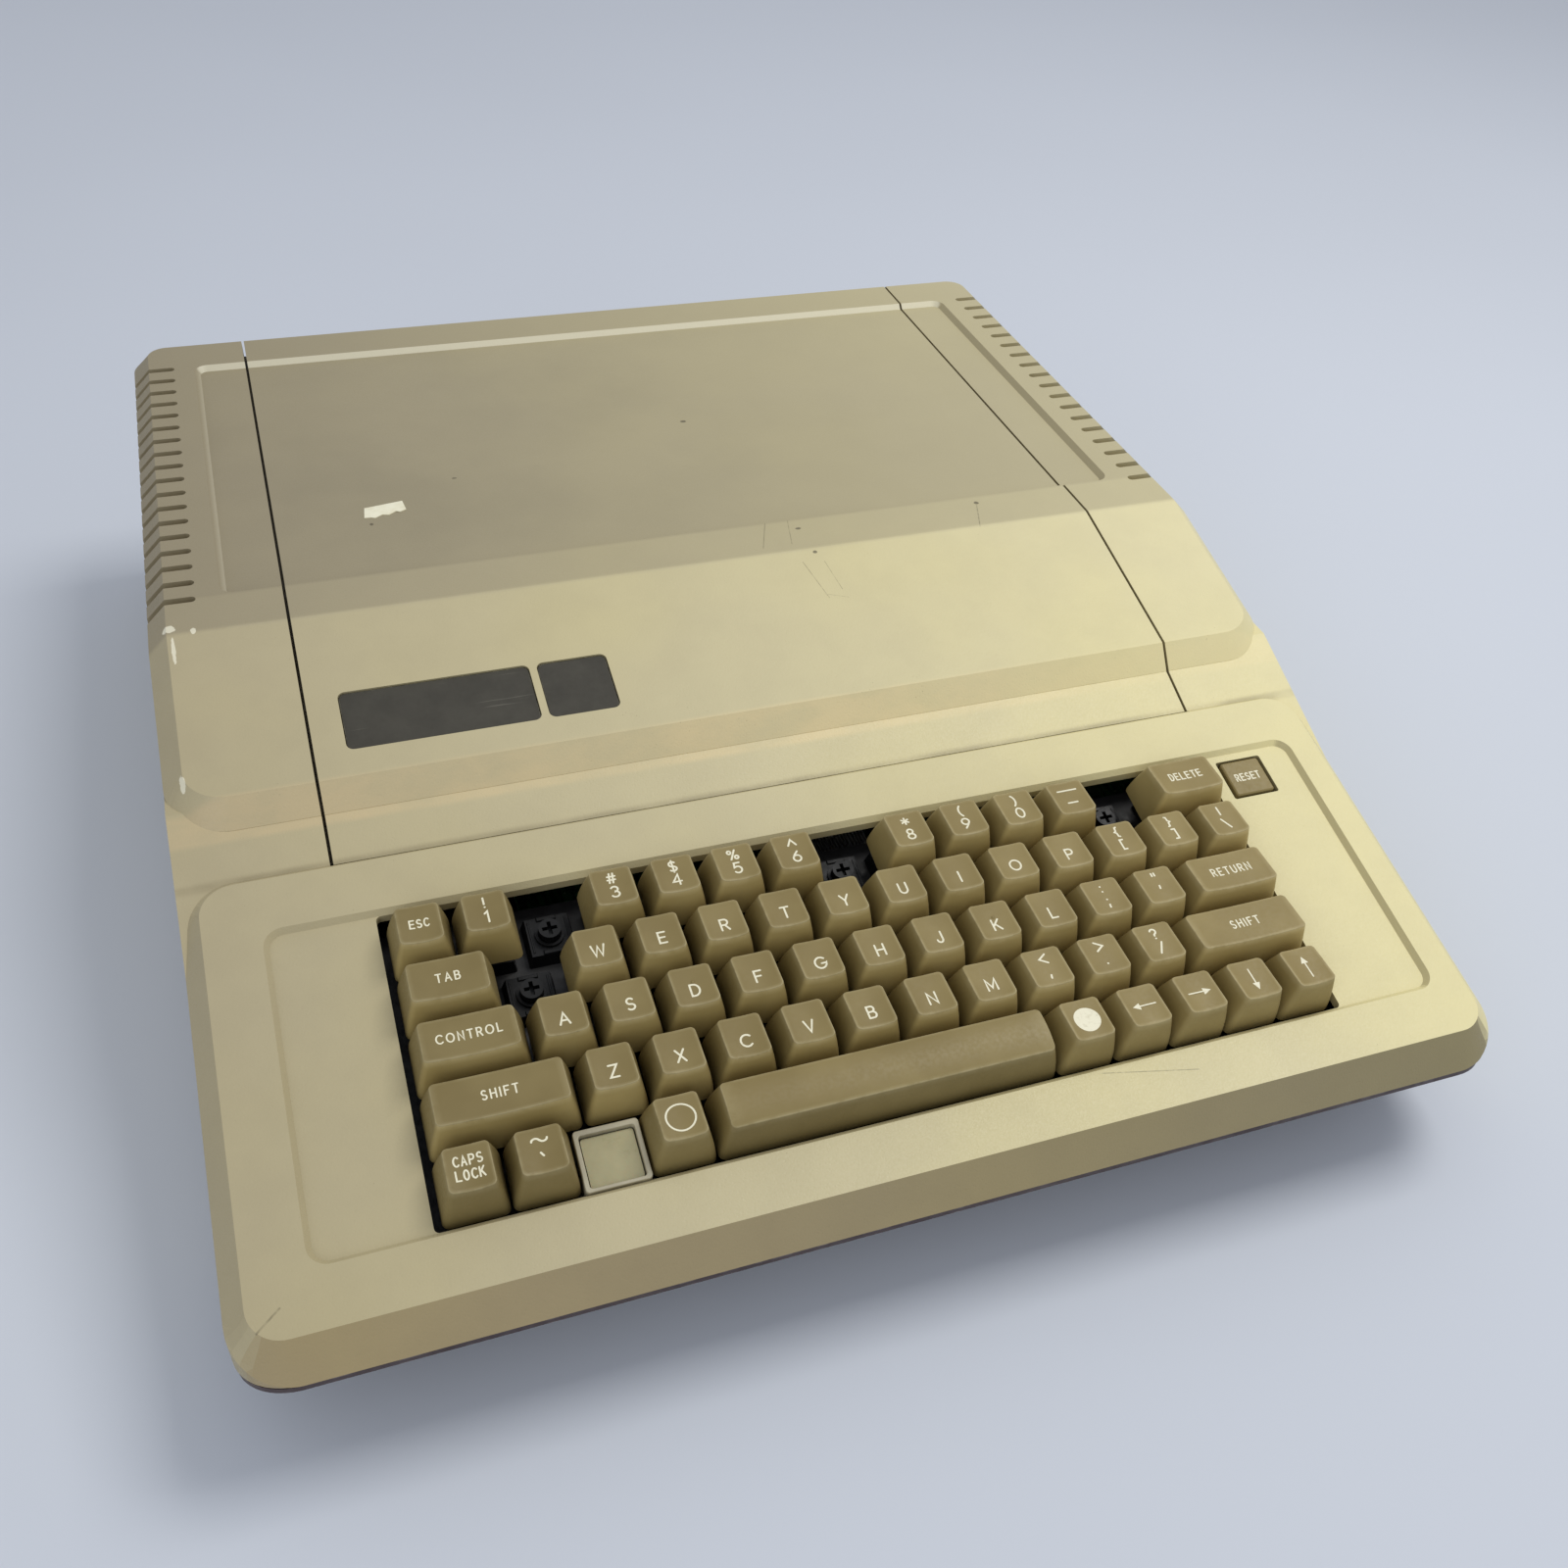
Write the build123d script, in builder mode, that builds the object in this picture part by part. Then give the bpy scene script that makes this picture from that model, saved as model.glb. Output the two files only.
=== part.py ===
"""Desk-top home computer: a wedge-shaped plastic case with a lift-off lid, a built-in keyboard,
a main board with expansion slots, and a power supply.

Millimetres. +X is the user's right, -Y is the front, +Z is up. The origin is the middle of the
footprint, on the table.
"""

import os
from math import cos, radians, sin, tan

from build123d import *

os.makedirs("parts", exist_ok=True)

# ---------------------------------------------------------------- overall
WIDTH = 384.6
DEPTH = 451.0
HEIGHT = 110.0
HALF = WIDTH / 2
FRONT = -DEPTH / 2
REAR = DEPTH / 2

WALL = 3.0  # side, front and rear walls
SKIN = 5.2  # top skin, thick enough to carry the two shallow recesses
BEVEL = 6.6  # chamfer round the raised rear part
REAR_CORNER_R = 14.0
FRONT_CORNER_R = 17.0
RIDGE_CORNER_R = 19.0

# ---------------------------------------------------------------- side profile
BREAK_Y = FRONT + 231.5  # the flat top ends here and the slope begins
SLOPE_ANGLE = 13.1
RIDGE_Y = FRONT + 158.4  # foot of the raised part's front step
CREASE_Y = FRONT + 142.4  # bottom of the valley, where the keyboard deck begins
CREASE_Z = 80.0
VALLEY_RISE = 0.388  # valley floor, height gained per mm of depth
VALLEY_TOP = 89.4  # the lower body's top behind the valley, inside the raised part
DECK_ANGLE = 13.0
DECK_BEVEL_ANGLE = 43.0  # slope of the deck's edge, measured from the deck's normal
CASE_BOTTOM = 10.0
NOSE_BOTTOM = 39.0  # the nose overhangs the table by this much
NOSE_BEND_Y = FRONT + 70.0
NOSE_LIP_R = 2.6
TABLE_CLEAR = 30.0  # cutters reach this far past what they cut

# The keyboard deck. Its local x is the case's X, y runs up the slope and z is its normal.
DECK = Plane(
    origin=(0, FRONT + 120.9, 77.5),
    x_dir=(1, 0, 0),
    z_dir=(0, -sin(radians(DECK_ANGLE)), cos(radians(DECK_ANGLE))),
)
DECK_HALF = 186.3
DECK_BACK = 19.3
DECK_FRONT = -117.25
DECK_CORNER_R = 10.0

# The sloping panel behind the deck, with its origin on the slope's rear edge.
PANEL = Plane(
    origin=(0, BREAK_Y, HEIGHT),
    x_dir=(1, 0, 0),
    z_dir=(0, -sin(radians(SLOPE_ANGLE)), cos(radians(SLOPE_ANGLE))),
)

# ---------------------------------------------------------------- lid, recesses, vents
LID_HALF = 147.1
LID_GAP = 1.0
LID_FLANGE = 2.5
LID_FLANGE_DROP = 8.3
LEDGE_TOP = 8.6  # below the top surface
LEDGE_BOTTOM = 11.0
LEDGE_INNER = 138.0
REAR_LIP_Z = 84.5

RECESS_Z = HEIGHT - 2.0
RECESS_HALF = 166.0
RECESS_FRONT_Y = FRONT + 253.7
RECESS_BACK_Y = FRONT + 422.6
RECESS_SLANT = 2.0
RECESS_CORNER_R = 3.0

VENT_COUNT = 18
VENT_PITCH = 10.16
VENT_FIRST_Y = FRONT + 250.6
VENT_WIDTH = 3.2
VENT_INNER_X = 175.8
VENT_DEPTH = 2.4
VENT_LOW_Z = 62.0
VENT_HIGH_Z = 96.0

STUD_X = 142.0
STUD_Y = (195.0, -40.0)
STUD_R = 2.5
STUD_HOLE_R = 2.9

# ---------------------------------------------------------------- keyboard
PITCH = 19.05
KEYS_LEFT = 2.0 - 7.25 * PITCH
ROW_START = 2.05  # front of the opening's rear edge, measured down the deck
OPENING = (-138.0, 142.0, 99.4)  # left, right, length down the deck
SURROUND = (-168.5, 175.0)
SURROUND_DEPTH = 1.8
SURROUND_SLANT = 1.5
SURROUND_CORNER_R = 4.5
RESET_CELL = (155.5, -10.5)
RESET_HOLE = (17.4, 15.8)

CAP_SKIRT = -5.0
CAP_TOP = 10.3
CAP_TILT = 7.4
CAP_BASE_LENGTH = 17.6
CAP_TOP_LENGTH = 11.6
CAP_BASE_GAP = 1.45  # a cap's base is this much narrower than its cell
CAP_TOP_GAP = 7.2
CAP_WALL = 1.4
CAP_TOP_SHIFT = -0.475
DISH_DEPTH = 0.7
POST_R = 3.0
PLUNGER_R = 3.4
PLUNGER_TOP = -8.0
PLUNGER_BOTTOM = -20.0
PLATE_TOP = -17.0
PLATE_THICK = 1.2
PLATE_BOTTOM = PLATE_TOP - PLATE_THICK
HOUSING_TOP = -12.0
HOUSING_FOOT = -25.4
HOUSING_SIZE = 15.4
HOUSING_BODY = 13.9
PLATE_HOLE = 14.0
BORE_R = 3.5
KEYBOARD_X = (-153.0, 173.0)
KEYBOARD_Y = (2.0, -101.5)

# ---------------------------------------------------------------- inside and rear
PAN_THICK = 2.0
FOOT_R = 9.0
FEET = ((-150, 190), (150, 190), (-150, -138), (150, -138))
PANEL_THICK = 1.2
PANEL_WIDTH = 352.0
PANEL_OPENING = 344.0
PANEL_OUT_Y = REAR - WALL
PANEL_IN_Y = PANEL_OUT_Y - PANEL_THICK
PANEL_TOP = 84.0
BOARD_Z = 18.0
BOARD_THICK = 1.6
BOARD_TOP = BOARD_Z + BOARD_THICK
SUPPLY_X = (-176.0, -98.0)
SUPPLY_Y = (-20.0, PANEL_IN_Y)
SUPPLY_TOP = 72.0
SHEET = 1.2
INLET = (-118.0, 40.0)
SWITCH = (-152.0, 40.0)


def deck_z(y):
    """Height of the deck's plane above the table at y."""
    return DECK.origin.Z + (y - DECK.origin.Y) * tan(radians(DECK_ANGLE))


def slope_z(y):
    """Height of the sloping panel's plane at y."""
    return HEIGHT + (y - BREAK_Y) * tan(radians(SLOPE_ANGLE))


def bottom_z(y):
    """Height of the case's lower edge at y."""
    if y >= NOSE_BEND_Y:
        return CASE_BOTTOM
    rise = (NOSE_BOTTOM - CASE_BOTTOM) / (NOSE_BEND_Y - FRONT)
    return CASE_BOTTOM + (NOSE_BEND_Y - y) * rise


def under_surface(drop, front_y, back_y):
    """Points of the top profile from back to front, lowered by drop, for pieces under the lid."""
    return [
        (back_y, HEIGHT - drop),
        (BREAK_Y, HEIGHT - drop),
        (RIDGE_Y + 6, slope_z(RIDGE_Y + 6) - drop),
        (RIDGE_Y + 3, CREASE_Z + VALLEY_RISE * (RIDGE_Y - CREASE_Y) - drop + 1),
        (CREASE_Y, CREASE_Z - drop),
        (front_y, CREASE_Z - drop),
    ]


def save(piece, name):
    """Label a finished piece and write its STEP file."""
    piece.label = name
    export_step(piece, f"parts/{name}.step")


# ================================================================ outer form
with BuildPart() as raised:
    with BuildSketch(Plane.YZ.offset(-HALF)):
        with BuildLine():
            Polyline(
                (REAR, CASE_BOTTOM),
                (REAR, HEIGHT),
                (BREAK_Y, HEIGHT),
                (RIDGE_Y, slope_z(RIDGE_Y)),
                (RIDGE_Y, CASE_BOTTOM),
                close=True,
            )
        make_face()
    extrude(amount=WIDTH)
    uprights = raised.edges().filter_by(Axis.Z)
    fillet(uprights.group_by(Axis.Y)[-1], REAR_CORNER_R)
    fillet(uprights.group_by(Axis.Y)[0], RIDGE_CORNER_R)
    tops = raised.faces().filter_by(lambda f: f.normal_at().Z > 0.9)
    rim = [e for f in tops for e in f.edges() if abs(e.center().Y - BREAK_Y) > 0.1]
    chamfer(rim, length=BEVEL)

with BuildPart() as deck_plateau:
    with BuildSketch(DECK):
        with Locations((0, (DECK_BACK + DECK_FRONT) / 2)):
            RectangleRounded(2 * DECK_HALF, DECK_BACK - DECK_FRONT, DECK_CORNER_R)
    extrude(amount=-45, taper=-DECK_BEVEL_ANGLE)


def footprint(inset):
    """A full-height block with the case's round-cornered plan, inset all round."""
    with BuildPart() as block:
        with BuildSketch():
            Rectangle(WIDTH - 2 * inset, DEPTH - 2 * inset)
        extrude(amount=HEIGHT)
        uprights = block.edges().filter_by(Axis.Z)
        fillet(uprights.group_by(Axis.Y)[-1], REAR_CORNER_R - inset)
        fillet(uprights.group_by(Axis.Y)[0], FRONT_CORNER_R - inset)
    return block.part


with BuildPart() as outer:
    valley_back = CREASE_Y + (VALLEY_TOP - CREASE_Z) / VALLEY_RISE
    with BuildSketch(Plane.YZ.offset(-HALF)):
        with BuildLine():
            Polyline(
                (REAR, 0),
                (REAR, VALLEY_TOP),
                (valley_back, VALLEY_TOP),
                (FRONT, CREASE_Z - VALLEY_RISE * (CREASE_Y - FRONT)),
                (FRONT, 0),
                close=True,
            )
        make_face()
    extrude(amount=WIDTH)
    add(deck_plateau.part)
    add(footprint(0), mode=Mode.INTERSECT)
    add(raised.part)
    with BuildSketch(Plane.YZ.offset(-HALF - TABLE_CLEAR)):
        with BuildLine():
            Polyline(
                (REAR + 1, -TABLE_CLEAR),
                (REAR + 1, CASE_BOTTOM),
                (NOSE_BEND_Y, CASE_BOTTOM),
                (FRONT - 1, bottom_z(FRONT - 1)),
                (FRONT - 1, -TABLE_CLEAR),
                close=True,
            )
        make_face()
    extrude(amount=WIDTH + 2 * TABLE_CLEAR, mode=Mode.SUBTRACT)
    undersides = outer.faces().filter_by(lambda f: f.normal_at().Z < -0.5)
    rolled = [e for f in undersides for e in f.edges() if abs(e.center().Y - NOSE_BEND_Y) > 0.1]
    fillet(rolled, NOSE_LIP_R)
    # Shallow tray in the flat top.
    tray_y = (RECESS_FRONT_Y + RECESS_BACK_Y) / 2
    tray_length = RECESS_BACK_Y - RECESS_FRONT_Y
    for lift in (0, 1):
        grow = 2 * RECESS_SLANT * lift * 1.5
        with BuildSketch(Plane.XY.offset(RECESS_Z + lift * 3.0)):
            with Locations((0, tray_y)):
                RectangleRounded(
                    2 * RECESS_HALF + grow,
                    tray_length + grow,
                    RECESS_CORNER_R + grow / 2,
                )
    loft(ruled=True, mode=Mode.SUBTRACT)
    # Shallow surround for the keys.
    surround_x = sum(SURROUND) / 2
    surround_width = SURROUND[1] - SURROUND[0]
    for lift in (0, 1):
        grow = 2 * SURROUND_SLANT * lift * 1.5
        with BuildSketch(DECK.offset(-SURROUND_DEPTH + lift * SURROUND_DEPTH * 1.5)):
            with Locations((surround_x, -OPENING[2] / 2)):
                RectangleRounded(
                    surround_width + grow,
                    OPENING[2] + grow,
                    SURROUND_CORNER_R + grow / 2,
                )
    loft(ruled=True, mode=Mode.SUBTRACT)


# ================================================================ the hollow inside
def hollow_profile(drop, front_gap):
    """Side profile of the hollow, lowered by drop below the top surface."""
    front_in = FRONT + front_gap
    return [
        (REAR - WALL, 0),
        (REAR - WALL, HEIGHT - drop),
        (BREAK_Y, HEIGHT - drop),
        (RIDGE_Y + 6, slope_z(RIDGE_Y + 6) - drop),
        (RIDGE_Y + 3, CREASE_Z + VALLEY_RISE * (RIDGE_Y - CREASE_Y) - drop),
        (CREASE_Y, CREASE_Z - drop),
        (CREASE_Y - 11, CREASE_Z - drop),
        (front_in + 8, deck_z(front_in + 8) - drop),
        (front_in, NOSE_BOTTOM + 1),
        (front_in, 0),
    ]


with BuildPart() as hollow:
    for drop, half, gap in ((SKIN, HALF - 10.5, 4.5), (9.5, HALF - WALL, 4.0)):
        with BuildSketch(Plane.YZ.offset(-half)):
            with BuildLine():
                Polyline(*hollow_profile(drop, gap), close=True)
            make_face()
        extrude(amount=2 * half)
    corners = hollow.edges().filter_by(Axis.Z).filter_by(lambda e: abs(e.center().X) > HALF - 4)
    fillet(corners, REAR_CORNER_R - WALL)

# ================================================================ upper case
SCREW_X = 185.5
SCREWS = [(side * SCREW_X, y) for y in (120, 0, -120) for side in (-1, 1)]
SCREW_R = 1.6
SCREW_LENGTH = 12.0
BOSS_R = 5.0
BOSS_HEIGHT = 34.0
KEYBOARD_BOSS_R = 4.0
KEYBOARD_BOSSES = ((-147.0, -8.0), (-147.0, -93.0), (168.5, -8.0), (168.5, -93.0))

# Vent cutters: grooves across the top and the bevel that open through the side walls.
with BuildPart() as vents:
    groove_z = HEIGHT - VENT_DEPTH
    bevel_x = HALF - BEVEL - 1
    wall_x = HALF - VENT_DEPTH
    with BuildSketch(Plane.XZ.offset(-VENT_FIRST_Y - VENT_WIDTH / 2)):
        with BuildLine():
            Polyline(
                (VENT_INNER_X, HEIGHT + 5),
                (VENT_INNER_X, groove_z),
                (bevel_x, groove_z),
                (wall_x, groove_z - (wall_x - bevel_x)),
                (wall_x, VENT_HIGH_Z),
                (HALF - 5, VENT_HIGH_Z),
                (HALF - 5, VENT_LOW_Z),
                (HALF + 5, VENT_LOW_Z),
                (HALF + 5, HEIGHT + 5),
                close=True,
            )
        make_face()
    extrude(amount=VENT_WIDTH)
    fillet(vents.edges().filter_by(Axis.Z).group_by(Axis.X)[0], VENT_WIDTH / 2 - 0.05)
    slot = vents.part
    with Locations(*[(0, k * VENT_PITCH, 0) for k in range(1, VENT_COUNT)]):
        add(slot)
    mirror(about=Plane.YZ)

with BuildPart() as upper_case:
    add(outer.part)
    add(hollow.part, mode=Mode.SUBTRACT)
    # Opening under the lid, then the rim and the ledge that carry it.
    lid_back = REAR + 1
    lid_front = CREASE_Y - LID_GAP
    with BuildSketch(Plane.XY.offset(65)):
        with Locations((0, (lid_back + lid_front) / 2)):
            Rectangle(2 * (LID_HALF + LID_GAP), lid_back - lid_front)
    extrude(amount=60, mode=Mode.SUBTRACT)
    for inner, top_drop in ((LID_HALF + LID_GAP, SKIN - 1), (LEDGE_INNER, LEDGE_TOP)):
        rim_front = lid_front - LID_FLANGE
        top_line = under_surface(top_drop, rim_front, REAR - WALL)
        low_line = under_surface(LEDGE_BOTTOM, rim_front, REAR - WALL)
        outer_x = LID_HALF + LID_GAP + LID_FLANGE
        for start in (inner, -outer_x):
            with BuildSketch(Plane.YZ.offset(start)):
                with BuildLine():
                    Polyline(*top_line, *reversed(low_line), close=True)
                make_face()
            extrude(amount=outer_x - inner)
    front_ledge = LID_FLANGE + 8.0
    with Locations((0, lid_front - LID_FLANGE, CREASE_Z - LEDGE_BOTTOM)):
        Box(
            2 * (LID_HALF + LID_GAP),
            front_ledge,
            LEDGE_BOTTOM - LEDGE_TOP,
            align=(Align.CENTER, Align.MIN, Align.MIN),
        )
        Box(
            2 * (LID_HALF + LID_GAP),
            LID_FLANGE,
            LEDGE_BOTTOM - SKIN + 1,
            align=(Align.CENTER, Align.MIN, Align.MIN),
        )
    with Locations(*[(side * STUD_X, y, 60) for side in (-1, 1) for y in STUD_Y]):
        Cylinder(STUD_HOLE_R, 100, mode=Mode.SUBTRACT)
    # Opening for the back panel.
    with Locations((0, REAR, CASE_BOTTOM)):
        Box(PANEL_OPENING, 40, PANEL_TOP - CASE_BOTTOM,
            align=(Align.CENTER, Align.CENTER, Align.MIN), mode=Mode.SUBTRACT)
    # Keyboard opening and the hole for the reset key.
    opening_x = (OPENING[0] + OPENING[1]) / 2
    with BuildSketch(DECK.offset(5)):
        with Locations((opening_x, -OPENING[2] / 2)):
            RectangleRounded(OPENING[1] - OPENING[0], OPENING[2], 1.5)
        with Locations(RESET_CELL):
            RectangleRounded(*RESET_HOLE, 0.8)
    extrude(amount=-16, mode=Mode.SUBTRACT)
    add(vents.part, mode=Mode.SUBTRACT)
    # Bosses for the case screws and for the keyboard plate.
    with Locations(*[(x, y, CASE_BOTTOM) for x, y in SCREWS]):
        Cylinder(BOSS_R, BOSS_HEIGHT, align=(Align.CENTER, Align.CENTER, Align.MIN))
        Cylinder(SCREW_R, SCREW_LENGTH, align=(Align.CENTER, Align.CENTER, Align.MIN),
                 mode=Mode.SUBTRACT)
    with BuildSketch(DECK.offset(PLATE_TOP)):
        with Locations(*KEYBOARD_BOSSES):
            Circle(KEYBOARD_BOSS_R)
            Circle(SCREW_R, mode=Mode.SUBTRACT)
    extrude(amount=-PLATE_TOP - SURROUND_DEPTH - 1)
save(upper_case.part, "upper_case")

# ================================================================ lid
PLATES = ((-106.4, 61.2), (-61.4, 23.2))  # centre and width of each nameplate
PLATE_LENGTH = 23.2
PLATE_Y = -46.4
PLATE_RECESS = 1.6
NAMEPLATE_THICK = 1.0
NAMEPLATE_CORNER = 2.4
NAMEPLATE_GAP = 0.3
RIB_X = (-90.0, -30.0, 30.0, 90.0)
RIB_SIZE = (1.6, 200.0, 4.0)

with BuildPart() as lid:
    add(outer.part)
    with BuildSketch(Plane.YZ.offset(-LID_HALF)):
        with BuildLine():
            Polyline(
                (REAR + 1, HEIGHT + 1),
                (REAR + 1, REAR_LIP_Z),
                (REAR - WALL, REAR_LIP_Z),
                *under_surface(LID_FLANGE_DROP, CREASE_Y, REAR - WALL)[:-1],
                (CREASE_Y, HEIGHT + 1),
                close=True,
            )
        make_face()
    extrude(amount=2 * LID_HALF, mode=Mode.INTERSECT)
    under = under_surface(SKIN, CREASE_Y + LID_FLANGE, REAR - WALL)[:-2]
    inner_front = CREASE_Y + LID_FLANGE
    with BuildSketch(Plane.YZ.offset(-LID_HALF + LID_FLANGE)):
        with BuildLine():
            Polyline(
                (REAR - WALL, 50),
                *under,
                (inner_front, CREASE_Z + VALLEY_RISE * LID_FLANGE - SKIN),
                (inner_front, 50),
                close=True,
            )
        make_face()
    extrude(amount=2 * (LID_HALF - LID_FLANGE), mode=Mode.SUBTRACT)
    # Stiffening ribs under the flat top.
    with Locations(*[(rib_x, (BREAK_Y + REAR) / 2, HEIGHT - SKIN) for rib_x in RIB_X]):
        Box(*RIB_SIZE, align=(Align.CENTER, Align.CENTER, Align.MAX))
    for plate_x, plate_width in PLATES:
        with BuildSketch(PANEL):
            with Locations((plate_x, PLATE_Y)):
                RectangleRounded(
                    plate_width + NAMEPLATE_GAP,
                    PLATE_LENGTH + NAMEPLATE_GAP,
                    NAMEPLATE_CORNER,
                )
        extrude(amount=-PLATE_RECESS, mode=Mode.SUBTRACT)
save(lid.part, "lid")

with BuildPart() as nameplates:
    with BuildSketch(PANEL.offset(-PLATE_RECESS)):
        for plate_x, plate_width in PLATES:
            with Locations((plate_x, PLATE_Y)):
                RectangleRounded(plate_width, PLATE_LENGTH, NAMEPLATE_CORNER)
    extrude(amount=NAMEPLATE_THICK)
save(nameplates.part, "nameplates")


CLIP_R = 4.0
CLIP_THICK = 1.6


def stud_seat(y):
    """Height of the lid's underside and of the ledge's underside at a stud."""
    top = HEIGHT if y > BREAK_Y else slope_z(y)
    return top - SKIN, top - LEDGE_BOTTOM


with BuildPart() as lid_studs:
    for y in STUD_Y:
        seat, ledge = stud_seat(y)
        with Locations((-STUD_X, y, seat - 0.6), (STUD_X, y, seat - 0.6)):
            Cylinder(STUD_R, seat - ledge + 2.4, align=(Align.CENTER, Align.CENTER, Align.MAX))
save(lid_studs.part, "lid_studs")

with BuildPart() as stud_clips:
    for y in STUD_Y:
        seat, ledge = stud_seat(y)
        with Locations((-STUD_X, y, ledge - 0.9), (STUD_X, y, ledge - 0.9)):
            Cylinder(CLIP_R, CLIP_THICK, align=(Align.CENTER, Align.CENTER, Align.MAX))
            Cylinder(STUD_R + 0.1, CLIP_THICK, align=(Align.CENTER, Align.CENTER, Align.MAX),
                     mode=Mode.SUBTRACT)
save(stud_clips.part, "stud_clips")

# ================================================================ base
PAN_EDGE = 0.5  # the pan's edge stands this far inside the case's
PAN_HOLE_R = 1.9
HEAD_R = 3.3
HEAD_THICK = 2.0
POST_SPOTS = [(x, y) for x in (-80, 44, 168) for y in (-52, 70, 196)]

with BuildPart() as base_pan:
    with BuildSketch(Plane.YZ.offset(-HALF + PAN_EDGE)):
        with BuildLine():
            Polyline(
                (REAR - PAN_EDGE, CASE_BOTTOM),
                (NOSE_BEND_Y, CASE_BOTTOM),
                (FRONT + PAN_EDGE, bottom_z(FRONT + PAN_EDGE)),
                (FRONT + PAN_EDGE, bottom_z(FRONT + PAN_EDGE) - PAN_THICK),
                (NOSE_BEND_Y, CASE_BOTTOM - PAN_THICK),
                (REAR - PAN_EDGE, CASE_BOTTOM - PAN_THICK),
                close=True,
            )
        make_face()
    extrude(amount=2 * (HALF - PAN_EDGE))
    add(footprint(PAN_EDGE), mode=Mode.INTERSECT)
    with Locations(*[(x, y, 0) for x, y in SCREWS]):
        Cylinder(PAN_HOLE_R, 40, mode=Mode.SUBTRACT)
save(base_pan.part, "base_pan")

with BuildPart() as rubber_feet:
    pan_under = CASE_BOTTOM - PAN_THICK
    with BuildSketch(Plane.XY.offset(pan_under)):
        with Locations(*FEET):
            Circle(FOOT_R)
    extrude(amount=-pan_under, taper=8)
save(rubber_feet.part, "rubber_feet")

with BuildPart() as case_screws:
    with Locations(*[(x, y, CASE_BOTTOM - PAN_THICK) for x, y in SCREWS]):
        Cylinder(HEAD_R, HEAD_THICK, align=(Align.CENTER, Align.CENTER, Align.MAX))
        Cylinder(SCREW_R, SCREW_LENGTH, align=(Align.CENTER, Align.CENTER, Align.MIN))
    with BuildSketch(DECK.offset(HOUSING_FOOT - BOARD_THICK)):
        with Locations(*KEYBOARD_BOSSES):
            Circle(HEAD_R)
    extrude(amount=-HEAD_THICK)
    with BuildSketch(DECK.offset(HOUSING_FOOT - BOARD_THICK)):
        with Locations(*KEYBOARD_BOSSES):
            Circle(SCREW_R)
    extrude(amount=SCREW_LENGTH + 6)
save(case_screws.part, "case_screws")

# ================================================================ back panel and its sockets
SLOT_X = (-52.0, 2.0, 56.0, 110.0)
SLOT_Z = 62.0
SLOT_SIZE = (42.0, 12.0)
BLANK_SIZE = (30.0, 10.0)
BLANKS = ((-52.0, 38.0), (2.0, 38.0), (56.0, 38.0))
JACKS = ((152.0, 26.0), (132.0, 26.0))
VIDEO = (108.0, 26.0)
GAME = (76.0, 26.0)
JACK_R = 4.0
JACK_BORE_R = 1.8
JACK_DEPTH = 13.0
VIDEO_R = 4.15
VIDEO_BORE_R = 1.65
SHELL_SIZE = (17.0, 8.4)
INLET_BODY = (27.0, 20.0)
INLET_SOCKET = (22.0, 15.0)
FRAME_BODY = (13.0, 19.4)
FRAME_HOLE = (10.8, 17.0)


def rear_face(y):
    """A plane facing the rear at y, drawn from inside: local x is the case's X, y is up."""
    return Plane(origin=(0, y, 0), x_dir=(1, 0, 0), z_dir=(0, -1, 0))


with BuildPart() as back_panel:
    with BuildSketch(rear_face(PANEL_OUT_Y)):
        with Locations((0, (CASE_BOTTOM + PANEL_TOP) / 2)):
            Rectangle(PANEL_WIDTH, PANEL_TOP - CASE_BOTTOM)
        with Locations(*[(x, SLOT_Z) for x in SLOT_X]):
            RectangleRounded(*SLOT_SIZE, 2, mode=Mode.SUBTRACT)
        with Locations(*BLANKS):
            RectangleRounded(*BLANK_SIZE, 2, mode=Mode.SUBTRACT)
        with Locations(*JACKS):
            Circle(JACK_R, mode=Mode.SUBTRACT)
        with Locations(VIDEO):
            Circle(VIDEO_R, mode=Mode.SUBTRACT)
        with Locations(GAME):
            RectangleRounded(*SHELL_SIZE, 1.5, mode=Mode.SUBTRACT)
        with Locations(INLET):
            Rectangle(*INLET_BODY, mode=Mode.SUBTRACT)
        with Locations(SWITCH):
            Rectangle(*FRAME_BODY, mode=Mode.SUBTRACT)
    extrude(amount=PANEL_THICK)
save(back_panel.part, "back_panel")

with BuildPart() as port_covers:
    with BuildSketch(rear_face(PANEL_OUT_Y)):
        with Locations(*BLANKS):
            RectangleRounded(*BLANK_SIZE, 2)
    extrude(amount=PANEL_THICK)
    with BuildSketch(rear_face(PANEL_OUT_Y)):
        with Locations(*BLANKS):
            RectangleRounded(BLANK_SIZE[0] + 4, BLANK_SIZE[1] + 4, 3)
    extrude(amount=-1.4)
save(port_covers.part, "port_covers")

with BuildPart() as rear_jacks:
    for spots, radius, bore in ((JACKS, JACK_R, JACK_BORE_R), ((VIDEO,), VIDEO_R, VIDEO_BORE_R)):
        with BuildSketch(rear_face(PANEL_OUT_Y + 2.4)):
            with Locations(*spots):
                Circle(radius)
                Circle(bore, mode=Mode.SUBTRACT)
        extrude(amount=2.4 + PANEL_THICK)
        with BuildSketch(rear_face(PANEL_IN_Y)):
            with Locations(*spots):
                Rectangle(3 * radius, 3 * radius)
                Circle(bore, mode=Mode.SUBTRACT)
        extrude(amount=JACK_DEPTH - PANEL_THICK - 2.4)
        with BuildSketch(rear_face(PANEL_OUT_Y + 2.4 - JACK_DEPTH)):
            with Locations(*spots):
                Rectangle(3 * radius, 3 * radius)
        extrude(amount=1.5)
save(rear_jacks.part, "rear_jacks")

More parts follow.
